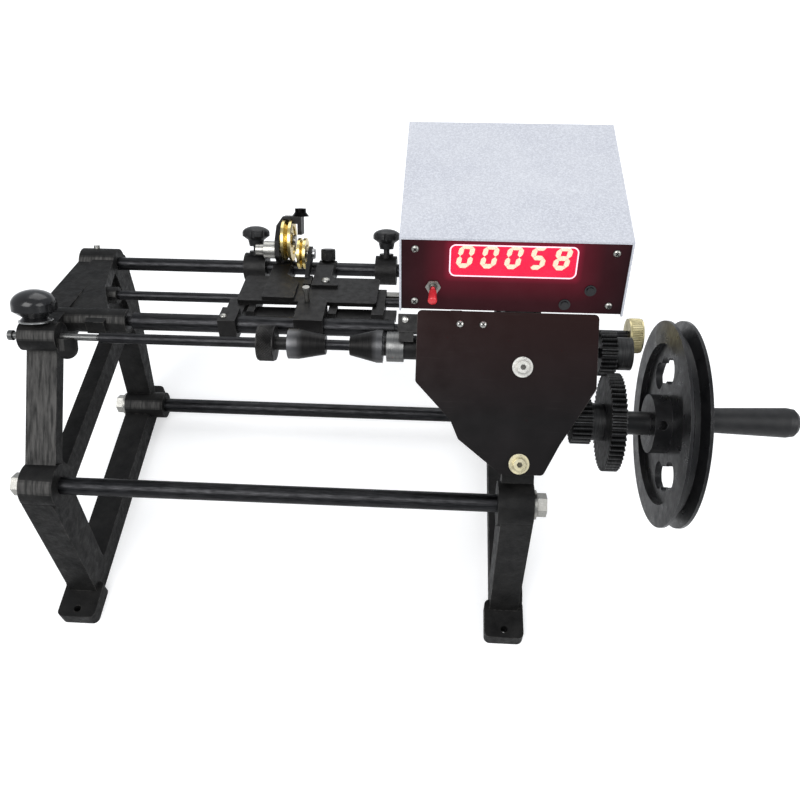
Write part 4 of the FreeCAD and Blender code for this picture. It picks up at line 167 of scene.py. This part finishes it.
def make_floor():
    """A pale floor that keeps the object's shadow, and glows where it is seen directly."""
    mesh = bpy.data.meshes.new("floor")
    corners = [(-1, -1), (1, -1), (1, 1), (-1, 1)]
    mesh.from_pydata([(x * FLOOR_REACH, y * FLOOR_REACH, 0) for x, y in corners], [],
                     [(0, 1, 2, 3)])
    floor = bpy.data.objects.new("floor", mesh)
    bpy.context.collection.objects.link(floor)
    finish = bpy.data.materials.new("floor")
    finish.use_nodes = True
    tree = finish.node_tree
    shader = tree.nodes["Principled BSDF"]
    shader.inputs["Base Color"].default_value = FLOOR_COLOUR
    shader.inputs["Roughness"].default_value = FLOOR_ROUGHNESS
    shader.inputs["Specular IOR Level"].default_value = FLOOR_SPECULAR
    glow = tree.nodes.new("ShaderNodeEmission")
    glow.inputs["Color"].default_value = FLOOR_GLOW
    tree.links.new(seen_directly(tree), glow.inputs["Strength"])
    both = tree.nodes.new("ShaderNodeAddShader")
    tree.links.new(shader.outputs[0], both.inputs[0])
    tree.links.new(glow.outputs[0], both.inputs[1])
    tree.links.new(both.outputs[0], tree.nodes["Material Output"].inputs["Surface"])
    floor.data.materials.append(finish)


# ---------------------------------------------------------------- nodes of the materials

RAY_SAMPLES = 6
# places of a mix node's colour sockets
COLOUR_A, COLOUR_B, COLOUR_MIXED = 6, 7, 2
# cosine between a face and its rounded normal: full wear of an edge, and none
EDGE_WORN, EDGE_NONE = 0.80, 0.97
# openness of a place, for the painted shade: deep in a hollow, and on an open face
HOLLOW_DEEP, HOLLOW_OPEN = 0.35, 0.85
# cosine between a face and a direction: still turned away, and facing it
FACING_NONE, FACING_FULL = 0.93, 0.98


class Finish:
    """A material in the making, with short ways to add its nodes."""

    def __init__(self, name, rough, metal=0.0):
        self.material = bpy.data.materials.new(name)
        self.material.use_nodes = True
        self.tree = self.material.node_tree
        self.shader = self.tree.nodes["Principled BSDF"]
        self.shader.inputs["Roughness"].default_value = rough
        self.shader.inputs["Metallic"].default_value = metal
        self.place = self.tree.nodes.new("ShaderNodeTexCoord").outputs["Object"]

    def add(self, kind, **values):
        """A node of a kind, with values for its own settings."""
        node = self.tree.nodes.new(kind)
        for name, value in values.items():
            setattr(node, name, value)
        return node

    def link(self, source, target):
        self.tree.links.new(source, target)
        return source

    def stretched(self, stretch):
        """Texture space drawn out along an axis."""
        mapping = self.add("ShaderNodeMapping")
        mapping.inputs["Scale"].default_value = stretch
        self.link(self.place, mapping.inputs["Vector"])
        return mapping.outputs[0]

    def noise(self, grain, detail=4.0, stretch=None, rough=0.55):
        """Noise whose patches are about a grain across, in millimetres."""
        node = self.add("ShaderNodeTexNoise")
        node.inputs["Scale"].default_value = 1 / (grain * MM)
        node.inputs["Detail"].default_value = detail
        node.inputs["Roughness"].default_value = rough
        self.link(self.stretched(stretch) if stretch else self.place, node.inputs["Vector"])
        return node.outputs["Fac"]

    def cells(self, grain):
        """Round cells about a grain across, in millimetres: 0 in their middles."""
        node = self.add("ShaderNodeTexVoronoi")
        node.inputs["Scale"].default_value = 1 / (grain * MM)
        self.link(self.place, node.inputs["Vector"])
        return node.outputs["Distance"]

    def ramp(self, source, stops):
        """Colours, or greys, at places along a value."""
        node = self.add("ShaderNodeValToRGB")
        band = node.color_ramp
        while len(band.elements) < len(stops):
            band.elements.new(0.5)
        for element, (at, value) in zip(band.elements, stops):
            element.position = at
            element.color = (value, value, value, 1) if isinstance(value, float) else (*value, 1)
        self.link(source, node.inputs["Fac"])
        return node.outputs["Color"]

    def between(self, source, first, second, low=0.3, high=0.7):
        """One colour, or grey, up to a low value, and another from a high value on."""
        return self.ramp(source, [(low, first), (high, second)])

    def mix(self, amount, first, second, blend="MIX"):
        """Two colours mixed by an amount. Each of the three is a value or a socket."""
        node = self.add("ShaderNodeMix", data_type="RGBA", blend_type=blend)
        sockets = (node.inputs["Factor"], node.inputs[COLOUR_A], node.inputs[COLOUR_B])
        for socket, value in zip(sockets, (amount, first, second)):
            if isinstance(value, bpy.types.NodeSocket):
                self.link(value, socket)
            elif isinstance(value, float):
                socket.default_value = value
            else:
                socket.default_value = (*value, 1)
        return node.outputs[COLOUR_MIXED]

    def bump(self, height, depth, normal=None):
        """Relief of a depth in millimetres, on top of the relief of a normal."""
        node = self.add("ShaderNodeBump")
        node.inputs["Distance"].default_value = depth * MM
        self.link(height, node.inputs["Height"])
        if normal:
            self.link(normal, node.inputs["Normal"])
        return self.link(node.outputs["Normal"], self.shader.inputs["Normal"])

    def along(self, vector, direction):
        """Length of a vector along a direction."""
        dot = self.add("ShaderNodeVectorMath", operation="DOT_PRODUCT")
        dot.inputs[1].default_value = direction
        self.link(vector, dot.inputs[0])
        return dot.outputs["Value"]

    def seen_from(self, origin):
        """The place of a point, measured from an origin."""
        shift = self.add("ShaderNodeVectorMath", operation="SUBTRACT")
        shift.inputs[1].default_value = origin
        self.link(self.place, shift.inputs[0])
        return shift.outputs[0]

    def edges(self, reach):
        """0 on faces, up to 1 on outer edges, within a reach in millimetres."""
        bevel = self.add("ShaderNodeBevel", samples=RAY_SAMPLES)
        bevel.inputs["Radius"].default_value = reach * MM
        geometry = self.add("ShaderNodeNewGeometry")
        dot = self.add("ShaderNodeVectorMath", operation="DOT_PRODUCT")
        self.link(bevel.outputs[0], dot.inputs[0])
        self.link(geometry.outputs["True Normal"], dot.inputs[1])
        return self.between(dot.outputs["Value"], 1.0, 0.0, EDGE_WORN, EDGE_NONE)

    def painted_shade_mask(self, reach):
        """Mask for painted shade: 0 deep in corners and recesses, where shade falls, up to 1 on
        open faces.
        """
        node = self.add("ShaderNodeAmbientOcclusion", samples=RAY_SAMPLES)
        node.inputs["Distance"].default_value = reach * MM
        return self.between(node.outputs["AO"], 0.0, 1.0, HOLLOW_DEEP, HOLLOW_OPEN)

    def facing(self, direction):
        """1 on faces that look along a direction, 0 on the others."""
        geometry = self.add("ShaderNodeNewGeometry")
        turned = self.along(geometry.outputs["True Normal"], direction)
        return self.between(turned, 0.0, 1.0, FACING_NONE, FACING_FULL)

    def measure(self, origin, direction, low, high):
        """0 to 1 from low to high millimetres off an origin, along a direction."""
        stretch = self.add("ShaderNodeMapRange")
        stretch.inputs["From Min"].default_value = low * MM
        stretch.inputs["From Max"].default_value = high * MM
        self.link(self.along(self.seen_from(origin), direction), stretch.inputs["Value"])
        return stretch.outputs[0]

    def colour(self, source):
        self.link(source, self.shader.inputs["Base Color"])

    def roughness(self, source):
        self.link(source, self.shader.inputs["Roughness"])

    def glow(self, source, strength):
        """Light of a colour that varies over the surface."""
        self.link(source, self.shader.inputs["Emission Color"])
        self.set(Emission_Strength=strength)

    def set(self, **values):
        """Values for the shader's own sockets, with _ for the spaces of their names."""
        for name, value in values.items():
            self.shader.inputs[name.replace("_", " ")].default_value = value


def wear(finish, base, worn, reach, patchy):
    """Edges worn brighter, in patches."""
    patches = finish.between(patchy, 0.0, 1.0, 0.42, 0.62)
    return finish.mix(finish.mix(1.0, finish.edges(reach), patches, "MULTIPLY"), base, worn)


# ---------------------------------------------------------------- paint and metal

# how much a texture is drawn out along X, Y and Z: a small factor draws it out
LONG_X = (0.06, 1, 1)
SCRATCHED_X = (0.05, 1, 1)
AROUND_X = (1, 0.08, 0.08)
DOWN_POST = (1, 0.12, 0.12)
EVEN = (1, 1, 1)
# the dark and the pale tone of blackened steel
BLACK = ((0.006, 0.0057, 0.0057), (0.017, 0.016, 0.0155))


def enamelled_casting(name, painted_post_light):
    """Black enamel over a rough casting, which may have painted light in streaks on its sloping
    post's face.
    """
    finish = Finish(name, 0.5)
    patches = finish.noise(18, 6)
    grain = finish.noise(1.1, 5)
    lumps = finish.noise(5, 3)
    base = finish.between(patches, (0.004, 0.004, 0.004), (0.014, 0.0135, 0.013), 0.3, 0.72)
    base = wear(finish, base, (0.06, 0.057, 0.053), 1.4, lumps)
    # painted light: faces turned like the post's face, up towards the light from above, made paler
    # in streaks
    if painted_post_light:
        streaks = finish.between(finish.noise(2.4, 6, DOWN_POST), 0.15, 1.0, 0.35, 0.65)
        painted_light_mask = finish.mix(1.0, finish.facing(POST_FACE), streaks, "MULTIPLY")
        base = finish.mix(painted_light_mask, base, painted_post_light)
    finish.colour(base)
    finish.roughness(finish.between(finish.noise(7, 4), 0.40, 0.66))
    finish.bump(lumps, 0.5, finish.bump(grain, 0.22))
    finish.set(Specular_IOR_Level=0.15)
    return finish.material


def casting():
    return enamelled_casting("casting", None)


def left_casting():
    # the colour of the painted light on the post's face, which is turned up towards the lamps
    return enamelled_casting("left_casting", (0.080, 0.077, 0.073))


def wheel_enamel():
    """Glossier black enamel of the handwheel, worn on its edges."""
    finish = Finish("wheel_enamel", 0.3)
    base = finish.between(finish.noise(14, 5), (0.004, 0.004, 0.0045), (0.010, 0.010, 0.0105))
    finish.colour(wear(finish, base, (0.06, 0.06, 0.062), 1.2, finish.noise(4, 4)))
    finish.roughness(finish.between(finish.noise(9, 4), 0.24, 0.44))
    finish.bump(finish.noise(2.2, 4), 0.10)
    finish.set(Specular_IOR_Level=0.25, Coat_Weight=0.12, Coat_Roughness=0.2)
    return finish.material


def metal(name, dark, pale, rough, stretch, metallic=1.0, worn=None):
    """Stained metal with fine lines: its finish, for more nodes, and its colour so far."""
    finish = Finish(name, rough, metallic)
    lines = finish.noise(0.8, 5, stretch)
    stains = finish.noise(11, 6)
    base = finish.between(lines, dark, pale)
    base = finish.mix(finish.between(stains, 0.0, 0.55, 0.45, 0.75), base, dark)
    base = wear(finish, base, worn, 0.7, stains) if worn else base
    finish.colour(base)
    finish.roughness(finish.between(finish.noise(6, 5), rough * 0.8, rough * 1.35))
    finish.bump(lines, 0.03)
    return finish, base


def steel(*values, **more):
    """Metal with nothing more to it."""
    return metal(*values, **more)[0].material


def dark_steel():
    return steel("dark_steel", (0.013, 0.013, 0.014), (0.046, 0.046, 0.048), 0.36, LONG_X)


def black_steel():
    return steel("black_steel", *BLACK, 0.44, EVEN, 0.6, (0.10, 0.096, 0.092))


def bright_steel():
    return steel("bright_steel", (0.12, 0.12, 0.118), (0.21, 0.21, 0.205), 0.34, AROUND_X)


def brass():
    return steel("brass", (0.55, 0.40, 0.12), (0.95, 0.82, 0.42), 0.24, AROUND_X)


def pale_brass():
    return steel("pale_brass", (0.50, 0.43, 0.22), (0.80, 0.72, 0.45), 0.30, AROUND_X)


def cone_steel():
    """Blackened cones with a painted highlight: a pale band on each cylindrical land."""
    measured_to = 100
    lands = [(0.10, 0.0), (0.11, 0.8), (0.16, 0.5), (0.24, 0.0),
             (0.83, 0.0), (0.88, 0.45), (0.93, 0.45), (0.94, 0.0)]
    finish, base = metal("cone_steel", *BLACK, 0.36, AROUND_X, 0.8, (0.13, 0.125, 0.12))
    # painted highlight: pale bands along X, at the lands of both cones
    bright = finish.ramp(finish.measure(ORIGIN, X_AXIS, 0, measured_to), lands)
    finish.colour(finish.mix(bright, base, (0.16, 0.16, 0.165)))
    return finish.material


def axle_steel():
    """The bright axles of the pulleys and the black screw on top of the arch."""
    axles_end, screw_end = 250, 254
    finish, base = metal("axle_steel", (0.30, 0.30, 0.30), (0.52, 0.52, 0.51), 0.28, EVEN)
    height = finish.measure(ORIGIN, Z_AXIS, axles_end, screw_end)
    finish.colour(finish.mix(finish.between(height, 0.0, 1.0, 0.4, 0.6), base, BLACK[0]))
    return finish.material


def gear_steel():
    """Dark gears with painted shade between their teeth."""
    finish, base = metal("gear_steel", (0.018, 0.018, 0.018), (0.060, 0.060, 0.060), 0.40,
                         AROUND_X, 0.9, (0.17, 0.17, 0.17))
    # painted shade: near-black in the hollows between the teeth
    finish.colour(finish.mix(finish.painted_shade_mask(3), (0.008, 0.008, 0.008), base))
    return finish.material


def zinc():
    """Dull plated screws, with painted shade in their recesses."""
    finish, base = metal("zinc", (0.27, 0.265, 0.24), (0.52, 0.51, 0.48), 0.32, EVEN)
    # painted shade: near-black in corners and recesses
    finish.colour(finish.mix(finish.painted_shade_mask(4), (0.03, 0.03, 0.028), base))
    return finish.material


def screw_steel():
    """The plate's screws: bright heads and washers, the lower one of the large pair yellowed, and
    painted shade in their recesses.
    """
    yellow_end, plain_end = 200, 260
    finish, base = metal("screw_steel", (0.42, 0.41, 0.38), (0.72, 0.71, 0.67), 0.28, EVEN)
    height = finish.measure(ORIGIN, Z_AXIS, yellow_end, plain_end)
    base = finish.mix(finish.between(height, 1.0, 0.0), base, (0.66, 0.60, 0.40))
    # painted shade: near-black in the sockets and round the heads
    finish.colour(finish.mix(finish.painted_shade_mask(4), (0.035, 0.033, 0.03), base))
    return finish.material


def plate_steel():
    """The headstock plate: black oxide with long faint scratches, browned towards the top."""
    plain_end, brown_end = 220, 300
    finish = Finish("plate_steel", 0.42, 0.15)
    lines = finish.noise(1.6, 6, SCRATCHED_X)
    stains = finish.noise(30, 6)
    base = finish.between(stains, (0.0045, 0.0040, 0.0042), (0.010, 0.0085, 0.009), 0.3, 0.75)
    height = finish.measure(ORIGIN, Z_AXIS, plain_end, brown_end)
    base = finish.mix(finish.between(height, 0.0, 0.8, 0.2, 1.0), base, (0.018, 0.004, 0.0035))
    scratches = finish.between(lines, 0.0, 0.4, 0.62, 0.80)
    base = finish.mix(scratches, base, (0.030, 0.025, 0.024))
    finish.colour(wear(finish, base, (0.12, 0.11, 0.10), 0.6, stains))
    finish.roughness(finish.between(finish.noise(12, 5), 0.36, 0.54))
    finish.bump(lines, 0.02)
    finish.set(Specular_IOR_Level=0.10)
    return finish.material


def grey_shell():
    """Light grey hammered paint with darker specks."""
    finish = Finish("grey_shell", 0.46)
    specks = finish.between(finish.noise(1.5, 5, rough=0.75), 0.0, 1.0, 0.44, 0.60)
    cells = finish.cells(2.2)
    clouds = finish.between(finish.noise(45, 3), 0.0, 0.25, 0.35, 0.75)
    base = finish.mix(specks, (0.40, 0.412, 0.460), (0.565, 0.58, 0.625))
    base = finish.mix(finish.between(cells, 0.35, 0.0, 0.05, 0.30), base, (0.36, 0.37, 0.42))
    finish.colour(finish.mix(clouds, base, (0.64, 0.65, 0.67)))
    finish.roughness(finish.between(specks, 0.40, 0.55, 0.0, 1.0))
    finish.bump(cells, 0.10)
    return finish.material


# ---------------------------------------------------------------- the panel, lit by its window

# share of the display's light left at a share of the distance that it reaches
LIGHT_LEFT = ((0.0, 1.0), (0.12, 0.35), (0.45, 0.10), (1.0, 0.0))


def window_distance(finish):
    """Distance of a point from the lit window's rectangle, in metres."""
    shift = finish.seen_from(WINDOW_CENTRE)
    join = finish.add("ShaderNodeCombineXYZ")
    sides = ((X_AXIS, WINDOW_WIDE / 2), (PANEL_UP, WINDOW_TALL / 2))
    for index, (direction, half) in enumerate(sides):
        size = finish.add("ShaderNodeMath", operation="ABSOLUTE")
        finish.link(finish.along(shift, direction), size.inputs[0])
        beyond = finish.add("ShaderNodeMath", operation="SUBTRACT")
        finish.link(size.outputs[0], beyond.inputs[0])
        beyond.inputs[1].default_value = half
        kept = finish.add("ShaderNodeMath", operation="MAXIMUM")
        finish.link(beyond.outputs[0], kept.inputs[0])
        kept.inputs[1].default_value = 0
        finish.link(kept.outputs[0], join.inputs[index])
    length = finish.add("ShaderNodeVectorMath", operation="LENGTH")
    finish.link(join.outputs[0], length.inputs[0])
    return length.outputs["Value"]


def lit_by_window(finish, near, reach):
    """Red light of the display that fades out over a reach in millimetres."""
    scaled = finish.add("ShaderNodeMath", operation="DIVIDE")
    finish.link(window_distance(finish), scaled.inputs[0])
    scaled.inputs[1].default_value = reach * MM
    stops = [(at, tuple(part * share for part in near)) for at, share in LIGHT_LEFT]
    finish.glow(finish.ramp(scaled.outputs[0], stops), 1.0)


def panel_paint():
    """The front panel's dark red-brown paint, with the display's red light painted round the
    window.
    """
    finish = Finish("panel_paint", 0.4)
    base = finish.between(finish.noise(20, 5), (0.009, 0.0036, 0.0045), (0.015, 0.006, 0.0075))
    finish.colour(wear(finish, base, (0.08, 0.07, 0.07), 0.5, finish.noise(6, 3)))
    finish.roughness(finish.between(finish.noise(1.2, 4), 0.36, 0.50))
    finish.bump(finish.noise(0.9, 4), 0.03)
    # painted glow of the display on the panel, fading out from the window
    lit_by_window(finish, (0.22, 0.007, 0.026), 50)
    finish.set(Specular_IOR_Level=0.10)
    return finish.material


# ---------------------------------------------------------------- plastic and light

def glossy_plastic(name, dark, pale, rough, coat=0.0):
    """Moulded plastic, which may have a clear coat."""
    finish = Finish(name, rough)
    finish.colour(finish.between(finish.noise(8, 4), dark, pale))
    finish.roughness(finish.between(finish.noise(3, 5), rough * 0.8, rough * 1.3))
    finish.bump(finish.noise(1.5, 4), 0.03)
    finish.set(Specular_IOR_Level=0.35)
    if coat:
        finish.set(Coat_Weight=coat, Coat_Roughness=0.1)
    return finish.material


def knob_plastic():
    """The tail knob's black ball on its bright washer."""
    washer_end, ball_end = 14, 14.6
    finish = Finish("knob_plastic", 0.2)
    turn = joints["tail_knob_turn"]
    above = finish.measure(Vector(turn["pos_m"]), Vector(turn["axis"]), washer_end, ball_end)
    base = finish.between(finish.noise(8, 4), (0.005, 0.005, 0.0055), (0.009, 0.009, 0.0095))
    finish.colour(finish.mix(above, (0.45, 0.45, 0.44), base))
    finish.link(finish.between(above, 1.0, 0.0, 0.4, 0.6), finish.shader.inputs["Metallic"])
    finish.roughness(finish.between(finish.noise(3, 5), 0.15, 0.28))
    finish.bump(finish.noise(1.5, 4), 0.03)
    finish.set(Specular_IOR_Level=0.4, Coat_Weight=0.2, Coat_Roughness=0.1)
    return finish.material


def black_plastic():
    return glossy_plastic("black_plastic", (0.008, 0.008, 0.009), (0.014, 0.014, 0.015), 0.22, 0.4)


def grip_plastic():
    return glossy_plastic("grip_plastic", (0.007, 0.007, 0.0075), (0.014, 0.014, 0.0145), 0.42)


def star_plastic():
    return glossy_plastic("star_plastic", (0.009, 0.009, 0.0095), (0.017, 0.017, 0.0175), 0.38)


def red_sleeve():
    return glossy_plastic("red_sleeve", (0.50, 0.02, 0.03), (0.68, 0.04, 0.05), 0.3, 0.3)


def board_green():
    return glossy_plastic("board_green", (0.02, 0.13, 0.05), (0.04, 0.20, 0.09), 0.4)


def digit_face():
    return glossy_plastic("digit_face", (0.30, 0.01, 0.02), (0.36, 0.02, 0.03), 0.5)


def unlit_digit():
    return glossy_plastic("unlit_digit", (0.42, 0.10, 0.09), (0.5, 0.13, 0.11), 0.5)


# painted shade: a near-black sheet laid where a screw's recess is shaded
def painted_recess_shade():
    return glossy_plastic("painted_recess_shade", (0.006, 0.006, 0.006), (0.012, 0.012, 0.012), 0.6)


def lamp_paint(name, dark, pale, strength):
    """A glowing finish, a little uneven over its surface."""
    finish = Finish(name, 0.5)
    tint = finish.between(finish.noise(3, 2), dark, pale)
    finish.colour(tint)
    finish.glow(tint, strength)
    return finish.material


def lit_digit():
    return lamp_paint("lit_digit", (1.0, 0.80, 0.62), (1.0, 0.88, 0.72), 5.0)


def painted_glow_line():
    # painted glow on the pale line round the window, which is no lamp
    return lamp_paint("painted_glow_line", (0.90, 0.50, 0.58), (0.96, 0.60, 0.66), 0.75)


def red_window():
    """Clear red sheet, lit from behind by the digits."""
    clear_share = 0.62
    clear_tint = (1.0, 0.72, 0.66, 1)
    finish = Finish("red_window", 0.12)
    tint = finish.between(finish.noise(25, 2), (0.74, 0.018, 0.075), (0.84, 0.028, 0.10))
    finish.colour(tint)
    finish.glow(tint, 0.85)
    clear = finish.add("ShaderNodeBsdfTransparent")
    clear.inputs["Color"].default_value = clear_tint
    mix = finish.add("ShaderNodeMixShader")
    mix.inputs[0].default_value = clear_share
    finish.link(finish.shader.outputs[0], mix.inputs[1])
    finish.link(clear.outputs[0], mix.inputs[2])
    finish.link(mix.outputs[0], finish.tree.nodes["Material Output"].inputs["Surface"])
    return finish.material


# ---------------------------------------------------------------- finishes of the CAD nodes

FINISHES = {
    casting: ("right_frame",),
    left_casting: ("left_frame",),
    wheel_enamel: ("handwheel",),
    dark_steel: ("tie_rods", "guide_rail", "guide_rod", "spindle_shaft", "crank_shaft",
                 "traverse_shaft", "shaft_bushes"),
    black_steel: ("box_bracket", "turn_sensor", "spindle_hub", "clamp_nut", "saddle_plate",
                  "rail_blocks", "follower_box", "carriage_fork", "guide_arm", "pulley_bracket",
                  "block_thumbscrew", "left_stop", "right_stop"),
    cone_steel: ("right_cone", "left_cone"),
    axle_steel: ("arm_screws",),
    plate_steel: ("headstock_plate",),
    gear_steel: ("spindle_gear", "spindle_pinion", "compound_gear", "traverse_gear"),
    bright_steel: ("steel_collar", "tail_pin"),
    zinc: ("tie_bolts", "frame_screws", "panel_screws", "cover_screws", "carriage_screws",
           "toggle_switch", "handle_pin", "tension_screw"),
    screw_steel: ("plate_screws",),
    brass: ("large_pulley", "small_pulley"),
    pale_brass: ("brass_nut",),
    grey_shell: ("counter_cover", "counter_base"),
    panel_paint: ("front_panel",),
    red_window: ("display_window",),
    digit_face: ("display_module",),
    board_green: ("circuit_board",),
    knob_plastic: ("tail_knob",),
    black_plastic: ("power_inlet", "reset_button", "pause_button", "button_bodies"),
    star_plastic: ("left_stop_knob", "right_stop_knob"),
    grip_plastic: ("handle_grip",),
    red_sleeve: ("toggle_lever",),
}
made = {}


def paint(item, make):
    """Give an object one finish, made once."""
    if make not in made:
        made[make] = make()
    item.data.materials.clear()
    item.data.materials.append(made[make])


def dress_nodes():
    for make, names in FINISHES.items():
        for name in names:
            paint(nodes[name], make)


# ---------------------------------------------------------------- new pieces

def piece(name, mesh, body, make):
    """A new piece with a finish, which rides on a body."""
    item = bpy.data.objects.new(name, mesh)
    bpy.context.collection.objects.link(item)
    paint(item, make)
    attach(item, body)
    return item


def finished(mesh, name):
    """Turn a bmesh into a mesh with outward faces."""
    bmesh.ops.recalc_face_normals(mesh, faces=mesh.faces)
    data = bpy.data.meshes.new(name)
    mesh.to_mesh(data)
    mesh.free()
    return data


# ---- knurled sleeves

COLUMNS_PER_TOOTH = 4


def knurl_mesh(radius, low, high, teeth, depth, crossed):
    """A thin ridged sleeve round Z; crossed ridges make diamonds."""
    columns = teeth * COLUMNS_PER_TOOTH
    rows = 2
    if crossed:
        rows = max(rows, round((high - low) / (2 * math.pi * radius / columns)))
    steps = [0.0] + [row / rows for row in range(rows + 1)] + [1.0]
    last = len(steps) - 1
    mesh = bmesh.new()
    rings = []
    for index, step in enumerate(steps):
        z = low + (high - low) * step
        lean = (z - low) / radius if crossed else 0.0
        ring = []
        for column in range(columns):
            turn = 2 * math.pi * column / columns
            ridge = min(abs(math.sin(teeth * (turn + lean) / 2)),
                        abs(math.sin(teeth * (turn - lean) / 2)))
            reach = radius if index in (0, last) else radius + depth * ridge
            ring.append(mesh.verts.new((reach * math.cos(turn), reach * math.sin(turn), z)))
        rings.append(ring)
    for lower, upper in zip(rings, rings[1:] + rings[:1]):
        for column in range(columns):
            after = (column + 1) % columns
            mesh.faces.new((lower[column], lower[after], upper[after], upper[column]))
    return finished(mesh, "knurl")


def knurl(name, body, place, make, radius, low, high, teeth, depth, crossed=True):
    """A knurled sleeve, in millimetres, along the Z of a place."""
    mesh = knurl_mesh(radius * MM, low * MM, high * MM, teeth, depth * MM, crossed)
    piece(name, mesh, body, make).matrix_world = place


def make_knurls():
    lean = Vector(joints["block_thumbscrew_turn"]["axis"])
    thumb = Vector(joints["block_thumbscrew_turn"]["pos_m"])
    nut_low, nut_high = (Vector(corner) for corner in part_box("clamp_nut"))
    brass_low, brass_high = (Vector(corner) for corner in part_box("brass_nut"))
    nut_left = Vector((nut_low.x, *((nut_low + nut_high) / 2).yz))
    brass_left = Vector((brass_low.x, *((brass_low + brass_high) / 2).yz))
    brass_wide = (brass_high.x - brass_low.x) / MM
    top = max(vertex.co.dot(lean) for vertex in nodes["block_thumbscrew"].data.vertices)
    head = (top - thumb.dot(lean)) / MM
    knurl("clamp_knurl", "clamp_nut", basis(X_AXIS, nut_left), black_steel,
          radius=14.95, low=1.2, high=13.6, teeth=40, depth=0.8)
    knurl("brass_knurl", "traverse", basis(X_AXIS, brass_left), pale_brass,
          radius=14.95, low=1.5, high=brass_wide - 1.5, teeth=60, depth=0.45, crossed=False)
    knurl("thumb_knurl", "block_thumbscrew", basis(lean, thumb), black_steel,
          radius=6.95, low=head - 10, high=head - 1, teeth=26, depth=0.4)


# ---- the lit digits

DIGITS = "00058"
DIGIT_PITCH = 19.1
DIGIT_HIGH = 20.3
DIGIT_WIDE = 12.6
STROKE = 4.0
SEGMENT_GAP = 0.1
DIGIT_SLANT = math.tan(math.radians(10))
DIGITS_UP = 2.5
DIGITS_ACROSS = 0.5
DIGITS_OUT = -2.9
LIT = {"0": "abcdef", "5": "acdfg", "8": "abcdefg"}


def segment_outlines():
    """The seven bars of a digit as outlines round its middle, in millimetres."""
    half_wide = (DIGIT_WIDE - STROKE) / 2
    half_high = (DIGIT_HIGH - STROKE) / 2
    tip = STROKE / 2

    def bar(start, end):
        run = (end - start).normalized()
        side = Vector((-run.y, run.x)) * tip
        start = start + run * SEGMENT_GAP
        end = end - run * SEGMENT_GAP
        return [start, start + run * tip + side, end - run * tip + side, end,
                end - run * tip - side, start + run * tip - side]

    corner = {(x, y): Vector((x * half_wide, y * half_high)) for x in (-1, 1) for y in (-1, 0, 1)}
    return {
        "a": bar(corner[-1, 1], corner[1, 1]), "b": bar(corner[1, 0], corner[1, 1]),
        "c": bar(corner[1, -1], corner[1, 0]), "d": bar(corner[-1, -1], corner[1, -1]),
        "e": bar(corner[-1, -1], corner[-1, 0]), "f": bar(corner[-1, 0], corner[-1, 1]),
        "g": bar(corner[-1, 0], corner[1, 0]),
    }


def digits_mesh(lit):
    """All bars of the display that are lit, or all that are not."""
    mesh = bmesh.new()
    for index, digit in enumerate(DIGITS):
        middle = (index - (len(DIGITS) - 1) / 2) * DIGIT_PITCH + DIGITS_ACROSS
        for name, outline in segment_outlines().items():
            if (name in LIT[digit]) != lit:
                continue
            places = [on_panel(middle + point.x + point.y * DIGIT_SLANT, point.y + DIGITS_UP,
                               DIGITS_OUT) for point in outline]
            mesh.faces.new([mesh.verts.new(place) for place in places])
    return finished(mesh, "digits")


def make_digits():
    piece("lit_digits", digits_mesh(True), "frame", lit_digit)
    piece("unlit_digits", digits_mesh(False), "frame", unlit_digit)


# ---- the line round the window

LINE_WIDE = 1.1
LINE_BEND = 4.0
LINE_OUT = 0.12
BEND_STEPS = 6


def make_window_line():
    """The pale line round the window, with a painted glow."""
    half_wide = WINDOW_WIDE / MM / 2
    half_tall = WINDOW_TALL / MM / 2
    mesh = bmesh.new()
    rings = []
    for grow in (0.0, LINE_WIDE):
        ring = []
        for side, level, start in ((1, 1, 0), (-1, 1, 90), (-1, -1, 180), (1, -1, 270)):
            for step in range(BEND_STEPS + 1):
                turn = math.radians(start + 90 * step / BEND_STEPS)
                across = side * (half_wide - LINE_BEND) + (LINE_BEND + grow) * math.cos(turn)
                up = level * (half_tall - LINE_BEND) + (LINE_BEND + grow) * math.sin(turn)
                ring.append(mesh.verts.new(on_panel(across, up, LINE_OUT)))
        rings.append(ring)
    inner, outer = rings
    for index in range(len(inner)):
        after = (index + 1) % len(inner)
        mesh.faces.new((inner[index], inner[after], outer[after], outer[index]))
    piece("window_line", finished(mesh, "line"), "frame", painted_glow_line)


# ---- painted shade in the recesses of the screws

PANEL_SCREWS = [(across, up) for across in (-77.6, 79.4) for up in (-36.5, 9.0)]
PANEL_SCREW_OUT = 2.0
STRAP_SCREWS = (157.5, 176.5)
STRAP_SCREW_ALONG = 19.8
STRAP_SCREW_OUT = 27.5
CROSS_REACH = 1.7
CROSS_WIDE = 0.9
CROSS_THICK = 0.12


def add_cross(mesh, place, axis):
    """Two crossed black bars, painted shade that stands in for the recess of a cross-head screw.
    """
    size = Matrix.Diagonal((2 * CROSS_REACH * MM, CROSS_WIDE * MM, CROSS_THICK * MM, 1))
    for turn in (45, 135):
        bar = bmesh.ops.create_cube(mesh, size=1)
        turned = Matrix.Rotation(math.radians(turn), 4, "Z")
        bmesh.ops.transform(mesh, matrix=basis(axis, place) @ turned @ size, verts=bar["verts"])


def make_recesses():
    mesh = bmesh.new()
    for across, up in PANEL_SCREWS:
        add_cross(mesh, on_panel(across, up, PANEL_SCREW_OUT), PANEL_OUT)
    for x in STRAP_SCREWS:
        add_cross(mesh, on_slope(x, STRAP_SCREW_ALONG, STRAP_SCREW_OUT), POST_FACE)
    piece("screw_recess_shade", finished(mesh, "recesses"), "frame", painted_recess_shade)


def main():
    make_camera()
    make_world()
    make_floor()
    make_lamps()
    dress_nodes()
    make_knurls()
    make_digits()
    make_window_line()
    make_recesses()
    bpy.context.scene.view_settings.view_transform = "Standard"


main()
